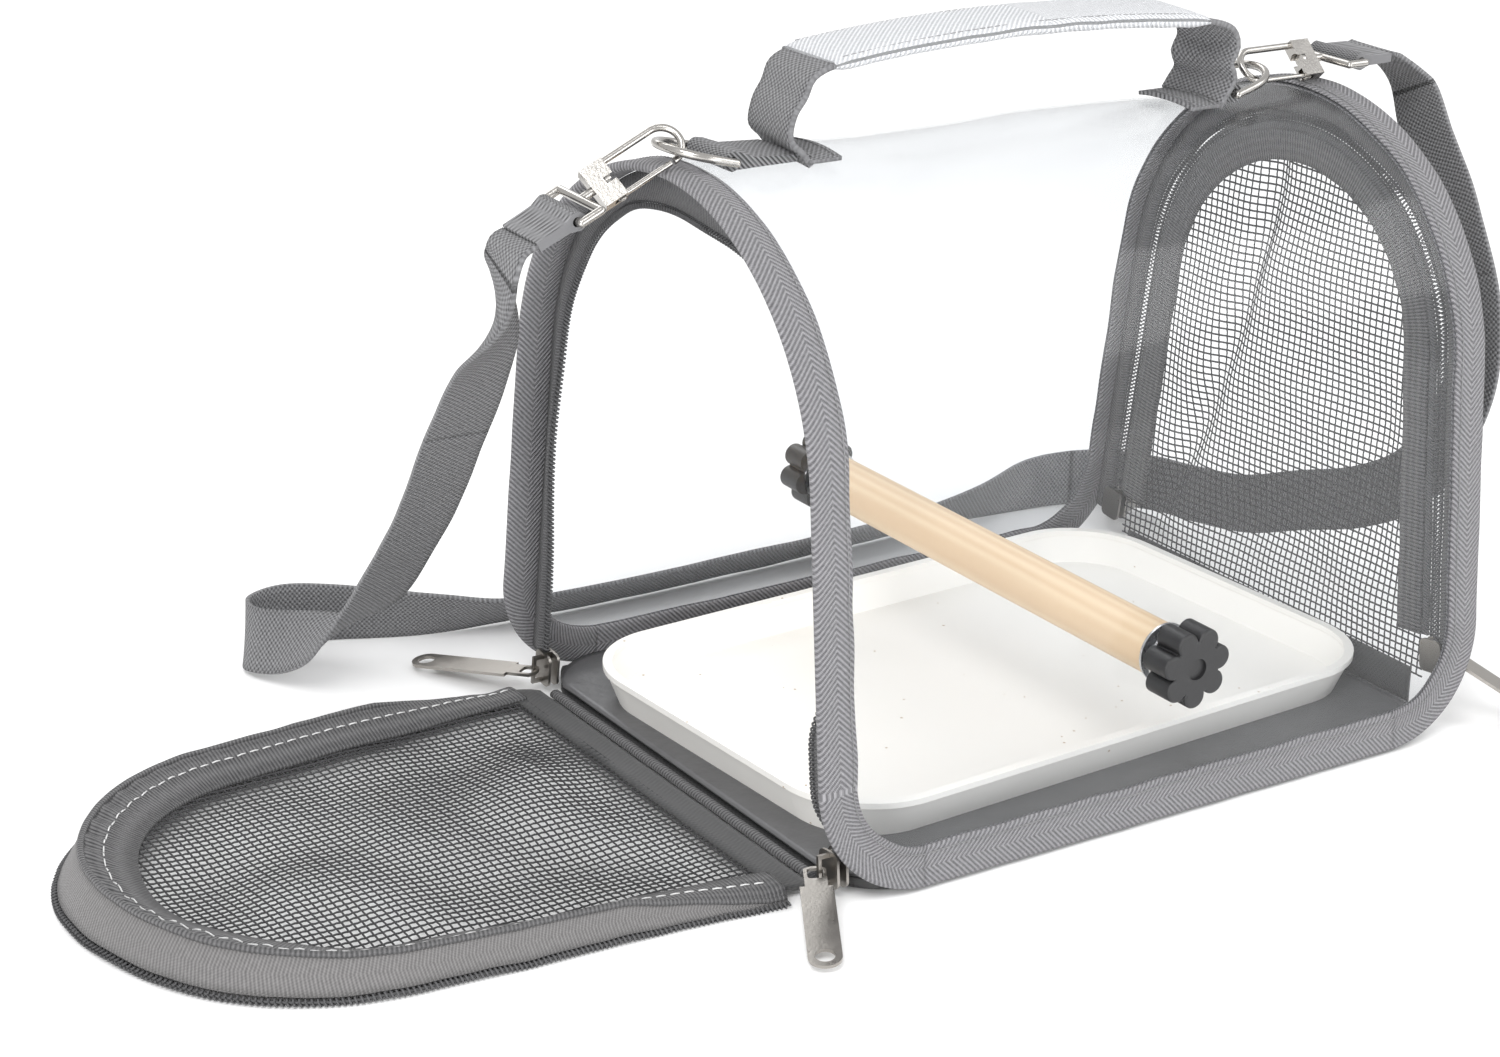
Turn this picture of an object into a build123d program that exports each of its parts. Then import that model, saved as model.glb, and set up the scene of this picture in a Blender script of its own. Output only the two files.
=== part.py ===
from build123d import *
import os
from math import sin, cos, tan, radians

# Bird travel carrier: a clear arched cabin with bound edges, a zip-on mesh door at each end,
# a lift-out tray, a screwed-in perch, a carry handle and a clip-on shoulder strap.
# Millimetres. +X runs from the open front door to the closed rear door, +Z is up,
# and the origin is the middle of the underside.

# ---- tray -----------------------------------------------------------------
tray_length = 268.0
tray_width = 174.0
tray_height = 15.0
tray_corner = 35.0
tray_flare = 6.0
tray_wall = 2.2
tray_turn = 3.0             # degrees
tray_x = 3.5
tray_y = 5.5

# ---- cabin arch ---------------------------------------------------------
tray_end_gap = 16.0         # tray's rim to each edge of the clear sheet
cabin_length = tray_length + 2 * tray_end_gap
cabin_height = 230.0        # floor to the crown of the edge binding
base_half_width = 112.5     # outside of the binding at the floor
leg_lean = radians(6.2)     # side walls lean in
clear_sheet = 0.8           # thickness of the clear sheet
binding_skin = 1.4          # each side of the folded binding tape
binding_width = 15.0
binding_fold = 1.0          # fold of the tape beyond the sheet's edge
corner_radius = 43.0        # lower corners of the side panels
corner_zone = 42.0          # length of the end bindings along the base

# ---- zips ---------------------------------------------------------------
zip_tape = 8.0
zip_tape_thick = 1.0
zip_teeth = 2.6
zip_teeth_thick = 2.4
zip_gap = 1.0
front_zip_setback = 13.0    # front zip plane behind the clear sheet's front edge
rear_zip_setback = 7.0
front_zip_foot = 14.0       # height where the cabin's half of the zip begins
rear_zip_foot = 22.0

# ---- base ---------------------------------------------------------------
cloth = 1.5
board = 2.5
lining = 0.8
base_corner = 30.0
board_margin = 4.0
hem_width = 3.2
hem_height = 3.6
hem_end_gap = 10.0          # hem's ends inside the line of the doors
hinge_gap = 0.9             # between a hem and the hinge line of its door
hinge_bead = 0.6            # radius of the stitched bead that the front door turns about

# ---- mesh doors -----------------------------------------------------------
hinge_height = 0.75
rim_height = 12.0
grosgrain_width = 12.0
grosgrain = 1.2
mesh_thick = 1.0
mesh_level = 3.7            # lower face of the front mesh above the floor at rest
floor_gap = 0.3
door_rim_start = 25.0       # the front rim begins this far from the hinge line
sill_width = 16.0
sill_end_gap = 3.6          # front sill's ends to the folded wall, clear of the parked sliders
mesh_corner = 3.0           # the net steps in by this beside the sliders
border_setback = 3.0        # the rear door's ribbed tape keeps clear of the sliders

# ---- perch ----------------------------------------------------------------
perch_x = -1.0
perch_height = 60.6
dowel_diameter = 20.0
stud_diameter = 6.0
stud_depth = 20.0
insert_diameter = 9.0
insert_length = 18.0
running_fit = 0.05
wall_clearance = 0.4
washer_diameter = 22.0
washer = 1.0
knob_diameter = 30.0
knob_thick = 12.0
knob_lobes = 7
lobe_diameter = 9.0
knob_core = 21.0
knob_edge = 1.0             # rounding of both rims
stud_in_knob = 8.0
dimple_diameter = 8.0
dimple_depth = 1.2

# ---- handle ---------------------------------------------------------------
webbing = 2.0
handle_width = 30.0
handle_front_setback = 49.0
handle_rear_setback = 66.0
anchor_share = 0.69         # of the handle's height that the sewn stubs reach
lap_length = 3.0
handle_end_z = 259.5
handle_crown_z = 265.5
sleeve_skin = 1.6
sleeve_inset = 9.0
lap_gap = 0.3
foot_length = 13.0

# ---- rings, hooks and strap -------------------------------------------------
ring_wire = 3.0
ring_inner = 25.0
ring_depth = 21.5
front_bar_setback = 21.0
rear_bar_setback = 57.0
ring_bar_height = 3.7       # wire centre above the clear sheet's crown
front_ring_tilt = 14.0
rear_ring_tilt = 16.0
tab_webbing = 1.6
tab_width = 24.0
hook_wire = 2.6
nose_radius = 6.75
hook_shank = 22.0           # nose centre to the gate's pin
hook_body = 7.0
gate_diameter = 2.0
gate_drop = 3.0
gate_tip_gap = 1.2          # nose's end to the gate's tip
gate_pin = 1.2
body_thick = 4.6
swivel_stem = 3.0
swivel_length = 5.0
eye_length = 8.0
strap_width = 25.0
strap_thick = 1.6
loop_tail = 16.0            # swivel's bar to the end of the sewn loop
front_hook_roll = 45.0       # tilt of the hook's own plane about its shank
rear_hook_roll = 45.0
front_hook_way = (-0.90, 0.04, -0.44)
rear_hook_way = (1.0, 0.0, 0.0)
hook_seat = 0.0             # ring wire behind the nose arc's centre

overrun = 40.0              # how far cutting tools pass the shape they cut

# ---- zip sliders -------------------------------------------------------------
slider_length = 13.0
slider_width = 10.6
slider_plate = 1.0
slider_play = 0.15
slider_web = 0.6
bail_window = 3.0
bail_bar = 1.3
tab_length = 56.0
tab_breadth = 11.4
tab_thick = 1.2
tab_hole = 6.8
tab_slot = 5.8              # length and width of the slot that the bail runs in
tab_slot_width = 5.4
tab_slot_corner = 1.2
tab_arm = 1.2
front_park = 9.0            # height of the parked front sliders
rear_park = 26.0
rim_clearance = 0.5         # parked rear sliders to the foot of the rear door's rim
rear_rim_start = rear_park + slider_length / 2 + rim_clearance

os.makedirs("parts", exist_ok=True)

# ---- worked out from the sizes above ------------------------------------------
half_length = cabin_length / 2
binding_depth = 2 * binding_skin + clear_sheet
arch_radius = (base_half_width * cos(leg_lean) - cabin_height * sin(leg_lean)) / (1 - sin(leg_lean))
arch_centre_z = cabin_height - arch_radius
sheet_crown = cabin_height - binding_skin
handle_front_x = handle_front_setback - half_length
handle_rear_x = half_length - handle_rear_setback
anchor_top = sheet_crown + (handle_end_z - sheet_crown) * anchor_share
lap_start = anchor_top - lap_length
front_bar_x = front_bar_setback - half_length
rear_bar_x = half_length - rear_bar_setback
teeth_out = binding_depth + zip_tape          # inset of the cabin teeth from the binding
door_inset = teeth_out + zip_teeth + zip_gap  # inset of a door's outline
zip_line = teeth_out + zip_teeth + zip_gap / 2
front_zip_x = -half_length + front_zip_setback
rear_zip_x = half_length - rear_zip_setback
front_hinge_x = front_zip_x - 4.0
rear_hinge_x = rear_zip_x + zip_teeth_thick / 2 - floor_gap / 2 - 0.25
floor_top = cloth + board + lining
ring_bar_z = sheet_crown + ring_bar_height


def leg_half_width(inset, height):
    """Half width between the straight legs at a height, the arch moved in by inset."""
    return base_half_width - inset / cos(leg_lean) - height * tan(leg_lean)


def arch_solid(inset, x_low, x_high, z_low=0.0):
    """Solid filling the arch, moved in by inset, from x_low to x_high."""
    radius = arch_radius - inset
    spring_y = radius * cos(leg_lean)
    spring_z = arch_centre_z + radius * sin(leg_lean)
    foot = leg_half_width(inset, z_low)
    outline = [
        Line((-foot, z_low), (-spring_y, spring_z)),
        ThreePointArc((-spring_y, spring_z), (0, arch_centre_z + radius), (spring_y, spring_z)),
        Line((spring_y, spring_z), (foot, z_low)),
        Line((foot, z_low), (-foot, z_low)),
    ]
    return extrude(Plane.YZ.offset(x_low) * make_face(outline), amount=x_high - x_low)


def arch_band(inset_out, inset_in, x_low, x_high, z_low=0.0):
    """Strip between two insets of the arch, open at the bottom."""
    inner = arch_solid(inset_in, x_low - 1, x_high + 1, z_low - 1)
    return arch_solid(inset_out, x_low, x_high, z_low) - inner


def side_outline(inset):
    """Side panel's outline seen along Y, moved in by inset, as a block across the width."""
    width = 2 * (half_length + binding_fold - inset)
    height = cabin_height + overrun
    outline = Pos(0, inset + height / 2) * Rectangle(width, height)
    lower = outline.vertices().sort_by(Axis.Y)[:2]
    return extrude(Plane.XZ * fillet(lower, corner_radius - inset), amount=2 * base_half_width, both=True)


def block(x_low, x_high, y_low, y_high, z_low, z_high):
    centre = Pos((x_low + x_high) / 2, (y_low + y_high) / 2, (z_low + z_high) / 2)
    return centre * Box(x_high - x_low, y_high - y_low, z_high - z_low)


def rod(start, end, diameter):
    start = Vector(*start)
    end = Vector(*end)
    plane = Plane(origin=start, z_dir=end - start)
    return extrude(plane * Circle(diameter / 2), amount=(end - start).length)


def write(name, shape):
    solids = shape.solids()
    out = solids[0] if len(solids) == 1 else Compound(children=list(solids))
    export_step(out, f"parts/{name}.step")


# ---- clear wrap and its bindings -------------------------------------------------
def make_wrap():
    shell = arch_band(binding_skin, binding_skin + clear_sheet, -half_length, half_length)
    shell = shell & side_outline(binding_fold)
    for side in (-1, 1):
        stud_way = rod((perch_x, side * (base_half_width - overrun), perch_height),
                       (perch_x, side * (base_half_width + overrun), perch_height),
                       stud_diameter + 2 * wall_clearance)
        shell = shell - stud_way
    return shell


wrap = make_wrap()
write("clear_wrap", wrap)

binding_ring = side_outline(0) - side_outline(binding_width)
binding_all = (arch_band(0, binding_depth, -half_length - binding_fold, half_length + binding_fold)
               & binding_ring) - wrap
far_end = half_length + overrun
zone_x = half_length - corner_zone
roof = cabin_height + overrun
wide = base_half_width + overrun
write("front_arch_binding", binding_all & block(-far_end, -zone_x, -wide, wide, -1, roof))
write("rear_arch_binding", binding_all & block(zone_x, far_end, -wide, wide, -1, roof))
write("near_base_binding", binding_all & block(-zone_x, zone_x, -wide, 0, -1, roof / 2))
write("far_base_binding", binding_all & block(-zone_x, zone_x, 0, wide, -1, roof / 2))


# ---- base -------------------------------------------------------------------------
def floor_layer(x_low, x_high, inset, z_low, z_high, corner):
    plate = arch_solid(binding_depth + inset, x_low, x_high)
    plate = plate & block(x_low, x_high, -wide, wide, z_low, z_high)
    plan = Pos((x_low + x_high) / 2, 0) * RectangleRounded(x_high - x_low, 2 * base_half_width, corner)
    return plate & extrude(Plane.XY.offset(z_low) * plan, amount=z_high - z_low)


front_hem_x = front_hinge_x + hinge_gap
rear_hem_x = rear_zip_x - zip_tape_thick / 2 - floor_gap
cloth_front = front_hem_x + hem_width
cloth_rear = rear_hem_x - hem_width
write("base_cloth", floor_layer(cloth_front, cloth_rear, 0, 0, cloth, base_corner))
write("base_board", floor_layer(cloth_front + board_margin, cloth_rear - board_margin, board_margin,
                                cloth, cloth + board, base_corner - board_margin))
write("floor_lining", floor_layer(cloth_front + 1, cloth_rear - 1, 0.2, cloth + board, floor_top,
                                  base_corner))
hem_half = leg_half_width(door_inset, 0) - hem_end_gap
front_hem = block(front_hem_x, cloth_front, -hem_half, hem_half, 0, hem_height)
front_hem = front_hem + block(front_hinge_x, front_hem_x, -hem_half, hem_half, 0.1, hinge_height)
front_hem = front_hem + rod((front_hinge_x, -hem_half, hinge_height), (front_hinge_x, hem_half, hinge_height),
                            2 * hinge_bead)
write("front_hem", front_hem)
write("rear_hem", block(cloth_rear, rear_hem_x, -hem_half, hem_half, 0, hem_height))


# ---- cabin halves of the zips --------------------------------------------------------
def cabin_zip(end, plane_x, foot):
    tape = arch_band(binding_depth, teeth_out, plane_x - zip_tape_thick / 2, plane_x + zip_tape_thick / 2, foot)
    teeth = arch_band(teeth_out, teeth_out + zip_teeth, plane_x - zip_teeth_thick / 2,
                      plane_x + zip_teeth_thick / 2, foot)
    write(f"{end}_zip_cabin_tape", tape)
    write(f"{end}_zip_cabin_teeth", teeth)


cabin_zip("front", front_zip_x, front_zip_foot)
cabin_zip("rear", rear_zip_x, rear_zip_foot)


# ---- front door: drawn shut, then laid open on the floor -----------------------------------
def make_front_door():
    face = front_hinge_x - hinge_height           # x of height zero once the door is laid down
    teeth_low = face + floor_gap
    wall_low = teeth_low + zip_teeth
    wall_high = teeth_low + rim_height
    rim_z = hinge_height + door_rim_start
    wall_out = door_inset + (zip_teeth_thick - zip_tape_thick) / 2
    wall_in = wall_out + zip_tape_thick
    mesh_low = face + mesh_level
    sill_low = hinge_height + hinge_gap
    sill_high = hinge_height + sill_width
    teeth = arch_band(door_inset, door_inset + zip_teeth_thick, teeth_low, wall_low, rim_z)
    wall = arch_band(wall_out, wall_in, wall_low, wall_high, rim_z)
    border = arch_band(wall_out, wall_out + grosgrain_width, wall_high, wall_high + grosgrain, rim_z)
    half = leg_half_width(wall_in, sill_high) - sill_end_gap
    mesh = arch_solid(wall_in, mesh_low, mesh_low + mesh_thick, door_rim_start)
    foot = half - mesh_corner
    mesh = mesh + block(mesh_low, mesh_low + mesh_thick, -foot, foot, hinge_height + 4, door_rim_start)
    sill = block(teeth_low, teeth_low + 1, -half, half, sill_low, sill_high)
    sill = sill + block(teeth_low, mesh_low, -half, half, sill_high - 4, sill_high)
    hinge = Axis((front_hinge_x, 0, hinge_height), (0, 1, 0))
    pieces = {"front_door_zip_teeth": teeth, "front_door_zip_tape": wall, "front_door_border": border,
              "front_door_mesh": mesh, "front_door_sill": sill}
    for name, piece in pieces.items():
        write(name, piece.rotate(hinge, -90))


make_front_door()


# ---- rear door, shut -----------------------------------------------------------------------
def make_rear_door():
    teeth_low = rear_zip_x - zip_teeth_thick / 2
    tape_low = rear_zip_x - zip_tape_thick / 2
    tape_high = rear_zip_x + zip_tape_thick / 2
    rim_z = hinge_height + rear_rim_start
    tape_out = door_inset + zip_teeth
    tape_in = tape_out + zip_tape
    teeth = arch_band(door_inset, tape_out, teeth_low, teeth_low + zip_teeth_thick, rim_z)
    tape = arch_band(tape_out, tape_in, tape_low, tape_high, rim_z)
    border_out = tape_out + border_setback
    border = arch_band(border_out, border_out + grosgrain_width, tape_low - grosgrain, tape_low, rim_z)
    sill_low = hinge_height + hinge_gap
    sill_high = hinge_height + sill_width
    half = leg_half_width(tape_in, sill_high)
    mesh = arch_solid(tape_in, tape_low, tape_high, sill_high)
    sill = block(tape_low, tape_high, -half, half, sill_low, sill_high)
    write("rear_door_zip_teeth", teeth)
    write("rear_door_zip_tape", tape)
    write("rear_door_border", border)
    write("rear_door_mesh", mesh)
    write("rear_door_sill", sill)


make_rear_door()


# ---- tray -----------------------------------------------------------------------------------
def make_tray():
    def level(height, inset):
        grow = tray_flare * (height / tray_height - 1) - inset
        plan = RectangleRounded(tray_length + 2 * grow, tray_width + 2 * grow, tray_corner + grow)
        return Plane.XY.offset(height) * plan
    outer = loft([level(0, 0), level(tray_height, 0)])
    inner = loft([level(tray_wall, tray_wall), level(tray_height + 1, tray_wall)])
    lip_out = extrude(level(tray_height, 0), amount=-tray_wall)
    lip = lip_out - extrude(level(tray_height, tray_wall * 1.6), amount=-tray_wall)
    tray = (outer - inner) + lip
    return Pos(tray_x, tray_y, floor_top) * Rot(0, 0, tray_turn) * tray


write("tray", make_tray())


# ---- perch ------------------------------------------------------------------------------------
wall_in_y = leg_half_width(binding_skin + clear_sheet, perch_height + washer_diameter / 2)
wall_out_y = leg_half_width(binding_skin, perch_height - washer_diameter / 2)
dowel_end = wall_in_y - wall_clearance - washer
outer_washer_y = wall_out_y + wall_clearance
knob_y = outer_washer_y + washer + 0.3
insert_bore = stud_diameter + 2 * running_fit


def across(y_low, y_high, diameter):
    return rod((perch_x, y_low, perch_height), (perch_x, y_high, perch_height), diameter)


def make_perch():
    dowel = across(-dowel_end, dowel_end, dowel_diameter)
    inserts = []
    washers = []
    for side in (-1, 1):
        end = side * dowel_end
        deep = side * (dowel_end - insert_length)
        deeper = side * (dowel_end - stud_depth - 4)
        dowel = dowel - across(deep, end, insert_diameter) - across(deeper, end, insert_bore)
        inserts.append(across(deep, end, insert_diameter) - across(deep, end, insert_bore))
        hole = stud_diameter + 2 * wall_clearance
        for near in (side * dowel_end, side * outer_washer_y):
            far = near + side * washer
            washers.append(across(near, far, washer_diameter) - across(near, far, hole))
    write("perch_dowel", dowel)
    write("perch_inserts", Compound(children=inserts))
    write("perch_washers", Compound(children=washers))


def make_knob(name, side):
    face = Circle(knob_core / 2)
    reach = (knob_diameter - lobe_diameter) / 2
    for turn in PolarLocations(reach, knob_lobes):
        face = face + turn * Circle(lobe_diameter / 2)
    face = face + Circle(reach)
    plane = Plane(origin=(perch_x, side * knob_y, perch_height), z_dir=(0, side, 0))
    knob = extrude(plane * face, amount=knob_thick)
    rims = knob.faces().sort_by(Axis.Y)[0 if side < 0 else -1].edges()
    knob = fillet(rims, knob_edge)
    blind = across(side * knob_y, side * (knob_y + stud_in_knob), stud_diameter)
    dimple = across(side * (knob_y + knob_thick - dimple_depth), side * (knob_y + knob_thick), dimple_diameter)
    write(f"{name}_knob", knob - blind - dimple)
    write(f"{name}_knob_stud", across(side * (dowel_end - stud_depth), side * (knob_y + stud_in_knob),
                                       stud_diameter))


make_perch()
make_knob("near", -1)
make_knob("far", 1)


# ---- handle -----------------------------------------------------------------------------------
def arc_bar(x_low, x_high, z_end, z_mid, half_thick, half_width):
    middle = (x_low + x_high) / 2
    outline = [
        ThreePointArc((x_low, z_end + half_thick), (middle, z_mid + half_thick), (x_high, z_end + half_thick)),
        Line((x_high, z_end + half_thick), (x_high, z_end - half_thick)),
        ThreePointArc((x_high, z_end - half_thick), (middle, z_mid - half_thick), (x_low, z_end - half_thick)),
        Line((x_low, z_end - half_thick), (x_low, z_end + half_thick)),
    ]
    return extrude(Plane.XZ * make_face(outline), amount=half_width, both=True)


def make_handle():
    half = handle_width / 2
    leg_f = handle_front_x + lap_gap
    leg_r = handle_rear_x - lap_gap
    strip = arc_bar(leg_f, leg_r, handle_end_z, handle_crown_z, webbing / 2, half)
    top = handle_end_z
    legs = block(leg_f, leg_f + webbing, -half, half, lap_start, top)
    legs = legs + block(leg_r - webbing, leg_r, -half, half, lap_start, top)
    strap = strip + legs
    fold = sleeve_inset
    sleeve = arc_bar(leg_f + fold, leg_r - fold, handle_end_z + 0.9, handle_crown_z, webbing / 2 + sleeve_skin,
                     half + sleeve_skin)
    write("handle_webbing", strap)
    hollow = arc_bar(leg_f, leg_r, handle_end_z, handle_crown_z, webbing / 2 + lap_gap, half + lap_gap)
    write("handle_sleeve", sleeve - hollow)


def crown_patch(x_low, x_high, thick, half_width):
    band = arch_band(binding_skin - thick, binding_skin, x_low, x_high)
    return band & block(x_low, x_high, -half_width, half_width, arch_centre_z, roof)


def make_anchor(name, face_x, way):
    """Sewn foot and standing stub of the handle; way points from the stub to its foot."""
    half = handle_width / 2
    x_one = face_x
    x_two = face_x - way * webbing
    stub = block(min(x_one, x_two), max(x_one, x_two), -half, half, arch_centre_z, anchor_top)
    stub = stub - arch_solid(binding_skin, face_x - overrun, face_x + overrun)
    x_foot = face_x + way * foot_length
    foot = crown_patch(min(x_one, x_foot), max(x_one, x_foot), webbing, half)
    write(name, stub + foot)


make_handle()
make_anchor("front_handle_anchor", handle_front_x, 1)
make_anchor("rear_handle_anchor", handle_rear_x, -1)


# ---- ring tabs and D-rings ------------------------------------------------------------------------
def make_ring_tab(name, bar_x, stub_x, way):
    """Webbing loop round the ring's bar; way points from the bar towards the free side."""
    hole = ring_wire + 2 * lap_gap
    outer = hole + 2 * tab_webbing
    loop = rod((bar_x, -tab_width / 2, ring_bar_z), (bar_x, tab_width / 2, ring_bar_z), outer)
    reach = min(9, abs(bar_x - stub_x))
    back = bar_x - way * reach
    loop = loop + block(min(bar_x, back), max(bar_x, back), -tab_width / 2, tab_width / 2,
                        ring_bar_z - outer / 2, ring_bar_z + outer / 2 - 1)
    loop = loop - arch_solid(binding_skin, bar_x - overrun, bar_x + overrun)
    loop = loop - rod((bar_x, -tab_width, ring_bar_z), (bar_x, tab_width, ring_bar_z), hole)
    tail_low = min(back, stub_x)
    tail_high = max(back, stub_x)
    if tail_high - tail_low > 1:
        loop = loop + crown_patch(tail_low, tail_high, 2 * tab_webbing, tab_width / 2)
    write(name, loop)


def make_ring(name, bar_x, way, tilt):
    radius = (ring_inner + ring_wire) / 2
    bend_x = ring_depth - radius
    ring = rod((0, -radius, 0), (0, radius, 0), ring_wire)
    for side in (-1, 1):
        ring = ring + rod((0, side * radius, 0), (bend_x, side * radius, 0), ring_wire)
        ring = ring + Pos(0, side * radius, 0) * Sphere(ring_wire / 2)
    bow = Torus(radius, ring_wire / 2) & Pos(radius, 0, 0) * Box(2 * radius, 4 * radius, 4 * radius)
    ring = ring + Pos(bend_x, 0, 0) * bow
    turn = Rot(0, -tilt, 0) if way > 0 else Rot(0, 180 + tilt, 0)
    write(name, Pos(bar_x, 0, ring_bar_z) * turn * ring)


make_ring_tab("front_ring_tab", front_bar_x, handle_front_x - webbing - lap_gap, -1)
make_ring_tab("rear_ring_tab", rear_bar_x, handle_rear_x + webbing + lap_gap, 1)
make_ring("front_ring", front_bar_x, -1, front_ring_tilt)
make_ring("rear_ring", rear_bar_x, 1, rear_ring_tilt)


# ---- snap hooks ---------------------------------------------------------------------------------------
def hook_frame(bar_x, way, tilt, hook_way, roll):
    """Frame with its origin at the nose arc's centre line foot, X along the shank, Y towards the spine."""
    bow = Vector(bar_x + way * ring_depth * cos(radians(tilt)), 0, ring_bar_z + ring_depth * sin(radians(tilt)))
    along = Vector(*hook_way).normalized()
    across_way = Vector(0, 0, 1).cross(along).normalized()
    upward = along.cross(across_way).normalized()
    away = across_way if across_way.Y > 0 else across_way * -1
    spine = upward * cos(radians(roll)) + away * sin(radians(roll))
    origin = bow + along * hook_seat - spine * (nose_radius - gate_drop)
    return Plane(origin=origin, x_dir=along, z_dir=along.cross(spine))


def make_hook(end, frame, level):
    """Hook, gate and swivel; level is the turn that brings the strap bar level."""
    top = 2 * nose_radius - gate_drop
    middle = nose_radius - gate_drop
    body_end = hook_shank + hook_body
    spine = rod((0, top, 0), (hook_shank, top, 0), hook_wire)
    nose = Pos(0, middle, 0) * (Torus(nose_radius, hook_wire / 2)
                                & Pos(-nose_radius, 0, 0) * Box(2 * nose_radius, 4 * nose_radius, 4 * hook_wire))
    slot = gate_diameter + 0.4
    body_height = top + gate_drop + gate_diameter
    body = Pos(hook_shank + hook_body / 2 - 1, middle, 0) * Box(hook_body + 2, body_height, body_thick)
    body = body - Pos(hook_shank - 1, -gate_drop, 0) * Box(8, 5.2, slot)
    body = body - rod((hook_shank, middle, 0), (body_end + 1, middle, 0), swivel_stem + 2 * running_fit)
    body = body - rod((hook_shank - 3, middle, 0), (hook_shank + 1.8, middle, 0), swivel_stem + 2.2)
    pin_end = body_thick / 2
    pin = rod((hook_shank, -gate_drop, -pin_end), (hook_shank, -gate_drop, pin_end), gate_pin)
    write(f"{end}_hook", frame * (spine + nose + body + pin))
    gate = rod((gate_tip_gap, -gate_drop, 0), (hook_shank, -gate_drop, 0), gate_diameter)
    gate = gate + Pos(hook_shank, -gate_drop, 0) * Cylinder(1.7, gate_diameter - 0.3)
    gate = gate - Pos(hook_shank, -gate_drop, 0) * Cylinder(gate_pin / 2 + running_fit, 6)
    write(f"{end}_hook_gate", frame * gate)
    stem_end = body_end + swivel_length
    half = strap_width / 2 + 0.8 + ring_wire / 2
    stem = rod((hook_shank + 0.2, middle, 0), (stem_end, middle, 0), swivel_stem)
    stem = stem + rod((hook_shank + 0.2, middle, 0), (hook_shank + 1.5, middle, 0), swivel_stem + 1.8)
    eye = rod((stem_end, middle, -half), (stem_end, middle, half), ring_wire)
    eye = eye + rod((stem_end + eye_length, middle, -half), (stem_end + eye_length, middle, half), ring_wire)
    for side in (-half, half):
        eye = eye + rod((stem_end, middle, side), (stem_end + eye_length, middle, side), ring_wire)
        for x_end in (stem_end, stem_end + eye_length):
            eye = eye + Pos(x_end, middle, side) * Sphere(ring_wire / 2)
    turn = Pos(0, middle, 0) * Rot(level, 0, 0) * Pos(0, -middle, 0)
    write(f"{end}_swivel", frame * turn * (stem + eye))
    bar_at = stem_end + eye_length
    hole = ring_wire + 2 * lap_gap
    outer = hole + 2 * strap_thick
    loop = rod((bar_at, middle, -strap_width / 2), (bar_at, middle, strap_width / 2), outer)
    loop = loop + Pos(bar_at + loop_tail / 2, middle, 0) * Box(loop_tail, 2 * strap_thick, strap_width)
    loop = loop - rod((bar_at, middle, -strap_width), (bar_at, middle, strap_width), hole)
    write(f"{end}_strap_loop", frame * turn * loop)
    return Plane(frame * turn * Pos(bar_at + loop_tail, middle, 0))


front_frame = hook_frame(front_bar_x, -1, front_ring_tilt, front_hook_way, front_hook_roll)
rear_frame = hook_frame(rear_bar_x, 1, rear_ring_tilt, rear_hook_way, rear_hook_roll)
front_strap_end = make_hook("front", front_frame, -front_hook_roll)
rear_strap_end = make_hook("rear", rear_frame, rear_hook_roll)


# ---- zip sliders and their pull tabs ----------------------------------------------------------------------
def make_slider(end, near, side, plane_x, outward, park, pull_way):
    """Slider on one leg; side is -1 near or +1 far, outward the X way its bail faces."""
    seat_y = side * leg_half_width(zip_line, park)
    along = Vector(0, -side * sin(leg_lean), cos(leg_lean))
    frame = Plane(origin=(plane_x, seat_y, park), x_dir=along, z_dir=(outward, 0, 0))
    inner = zip_teeth_thick / 2 + slider_play
    outer = inner + slider_plate
    body = Pos(slider_length / 2 - 1.5, 0, 0) * Box(3, slider_web, 2 * inner)
    for level in (inner, -outer):
        plate = extrude(Plane.XY.offset(level) * RectangleRounded(slider_length, slider_width, 2.5),
                        amount=slider_plate)
        body = body + plate
    bail_low = outer + bail_window
    post = (slider_length - 3) / 2
    for spot in (-post, post):
        body = body + Pos(spot, 0, outer + (bail_window + bail_bar) / 2) * Box(1.4, bail_bar, bail_window + bail_bar)
    body = body + Pos(0, 0, bail_low + bail_bar / 2) * Box(2 * post, bail_bar, bail_bar)
    write(f"{end}_{near}_slider", frame * body)

    bar = frame * Pos(0, 0, bail_low + bail_bar / 2)
    clear = 0.5
    way = Vector(*pull_way).normalized()
    upright = along - way * along.dot(way)
    plane = Plane(origin=bar.position, x_dir=way, z_dir=upright)
    out_side = 1 if plane.y_dir.X * outward > 0 else -1
    inner_arm = bail_bar / 2 + clear
    middle = out_side * (tab_slot_width / 2 - inner_arm)
    eye_start = -inner_arm - 0.1
    tab_start = eye_start - tab_arm
    plate = Pos(tab_start + tab_length / 2, middle) * RectangleRounded(tab_length, tab_breadth,
                                                                      tab_breadth / 2 - 0.1)
    neck = tab_slot_width + 2 * tab_arm
    shoulder = Pos(tab_start + tab_slot, middle)
    plate = plate - (shoulder * Rectangle(2 * tab_slot, 2 * tab_breadth) - shoulder * Rectangle(2 * tab_slot, neck))
    slot = Pos(eye_start + tab_slot / 2, middle) * RectangleRounded(tab_slot, tab_slot_width, tab_slot_corner)
    hole = Pos(tab_start + tab_length - tab_breadth / 2, middle) * Circle(tab_hole / 2)
    pull = extrude(plane * (plate - slot - hole), amount=tab_thick / 2, both=True)
    write(f"{end}_{near}_pull", pull)


make_slider("front", "near", -1, front_zip_x, -1, front_park, (-0.50, -0.86, -0.125))
make_slider("front", "far", 1, front_zip_x, -1, front_park, (-0.50, 0.86, -0.125))
make_slider("rear", "near", -1, rear_zip_x, 1, rear_park, (0.50, -0.75, -0.43))
make_slider("rear", "far", 1, rear_zip_x, 1, rear_park, (0.50, 0.75, -0.43))


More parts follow.
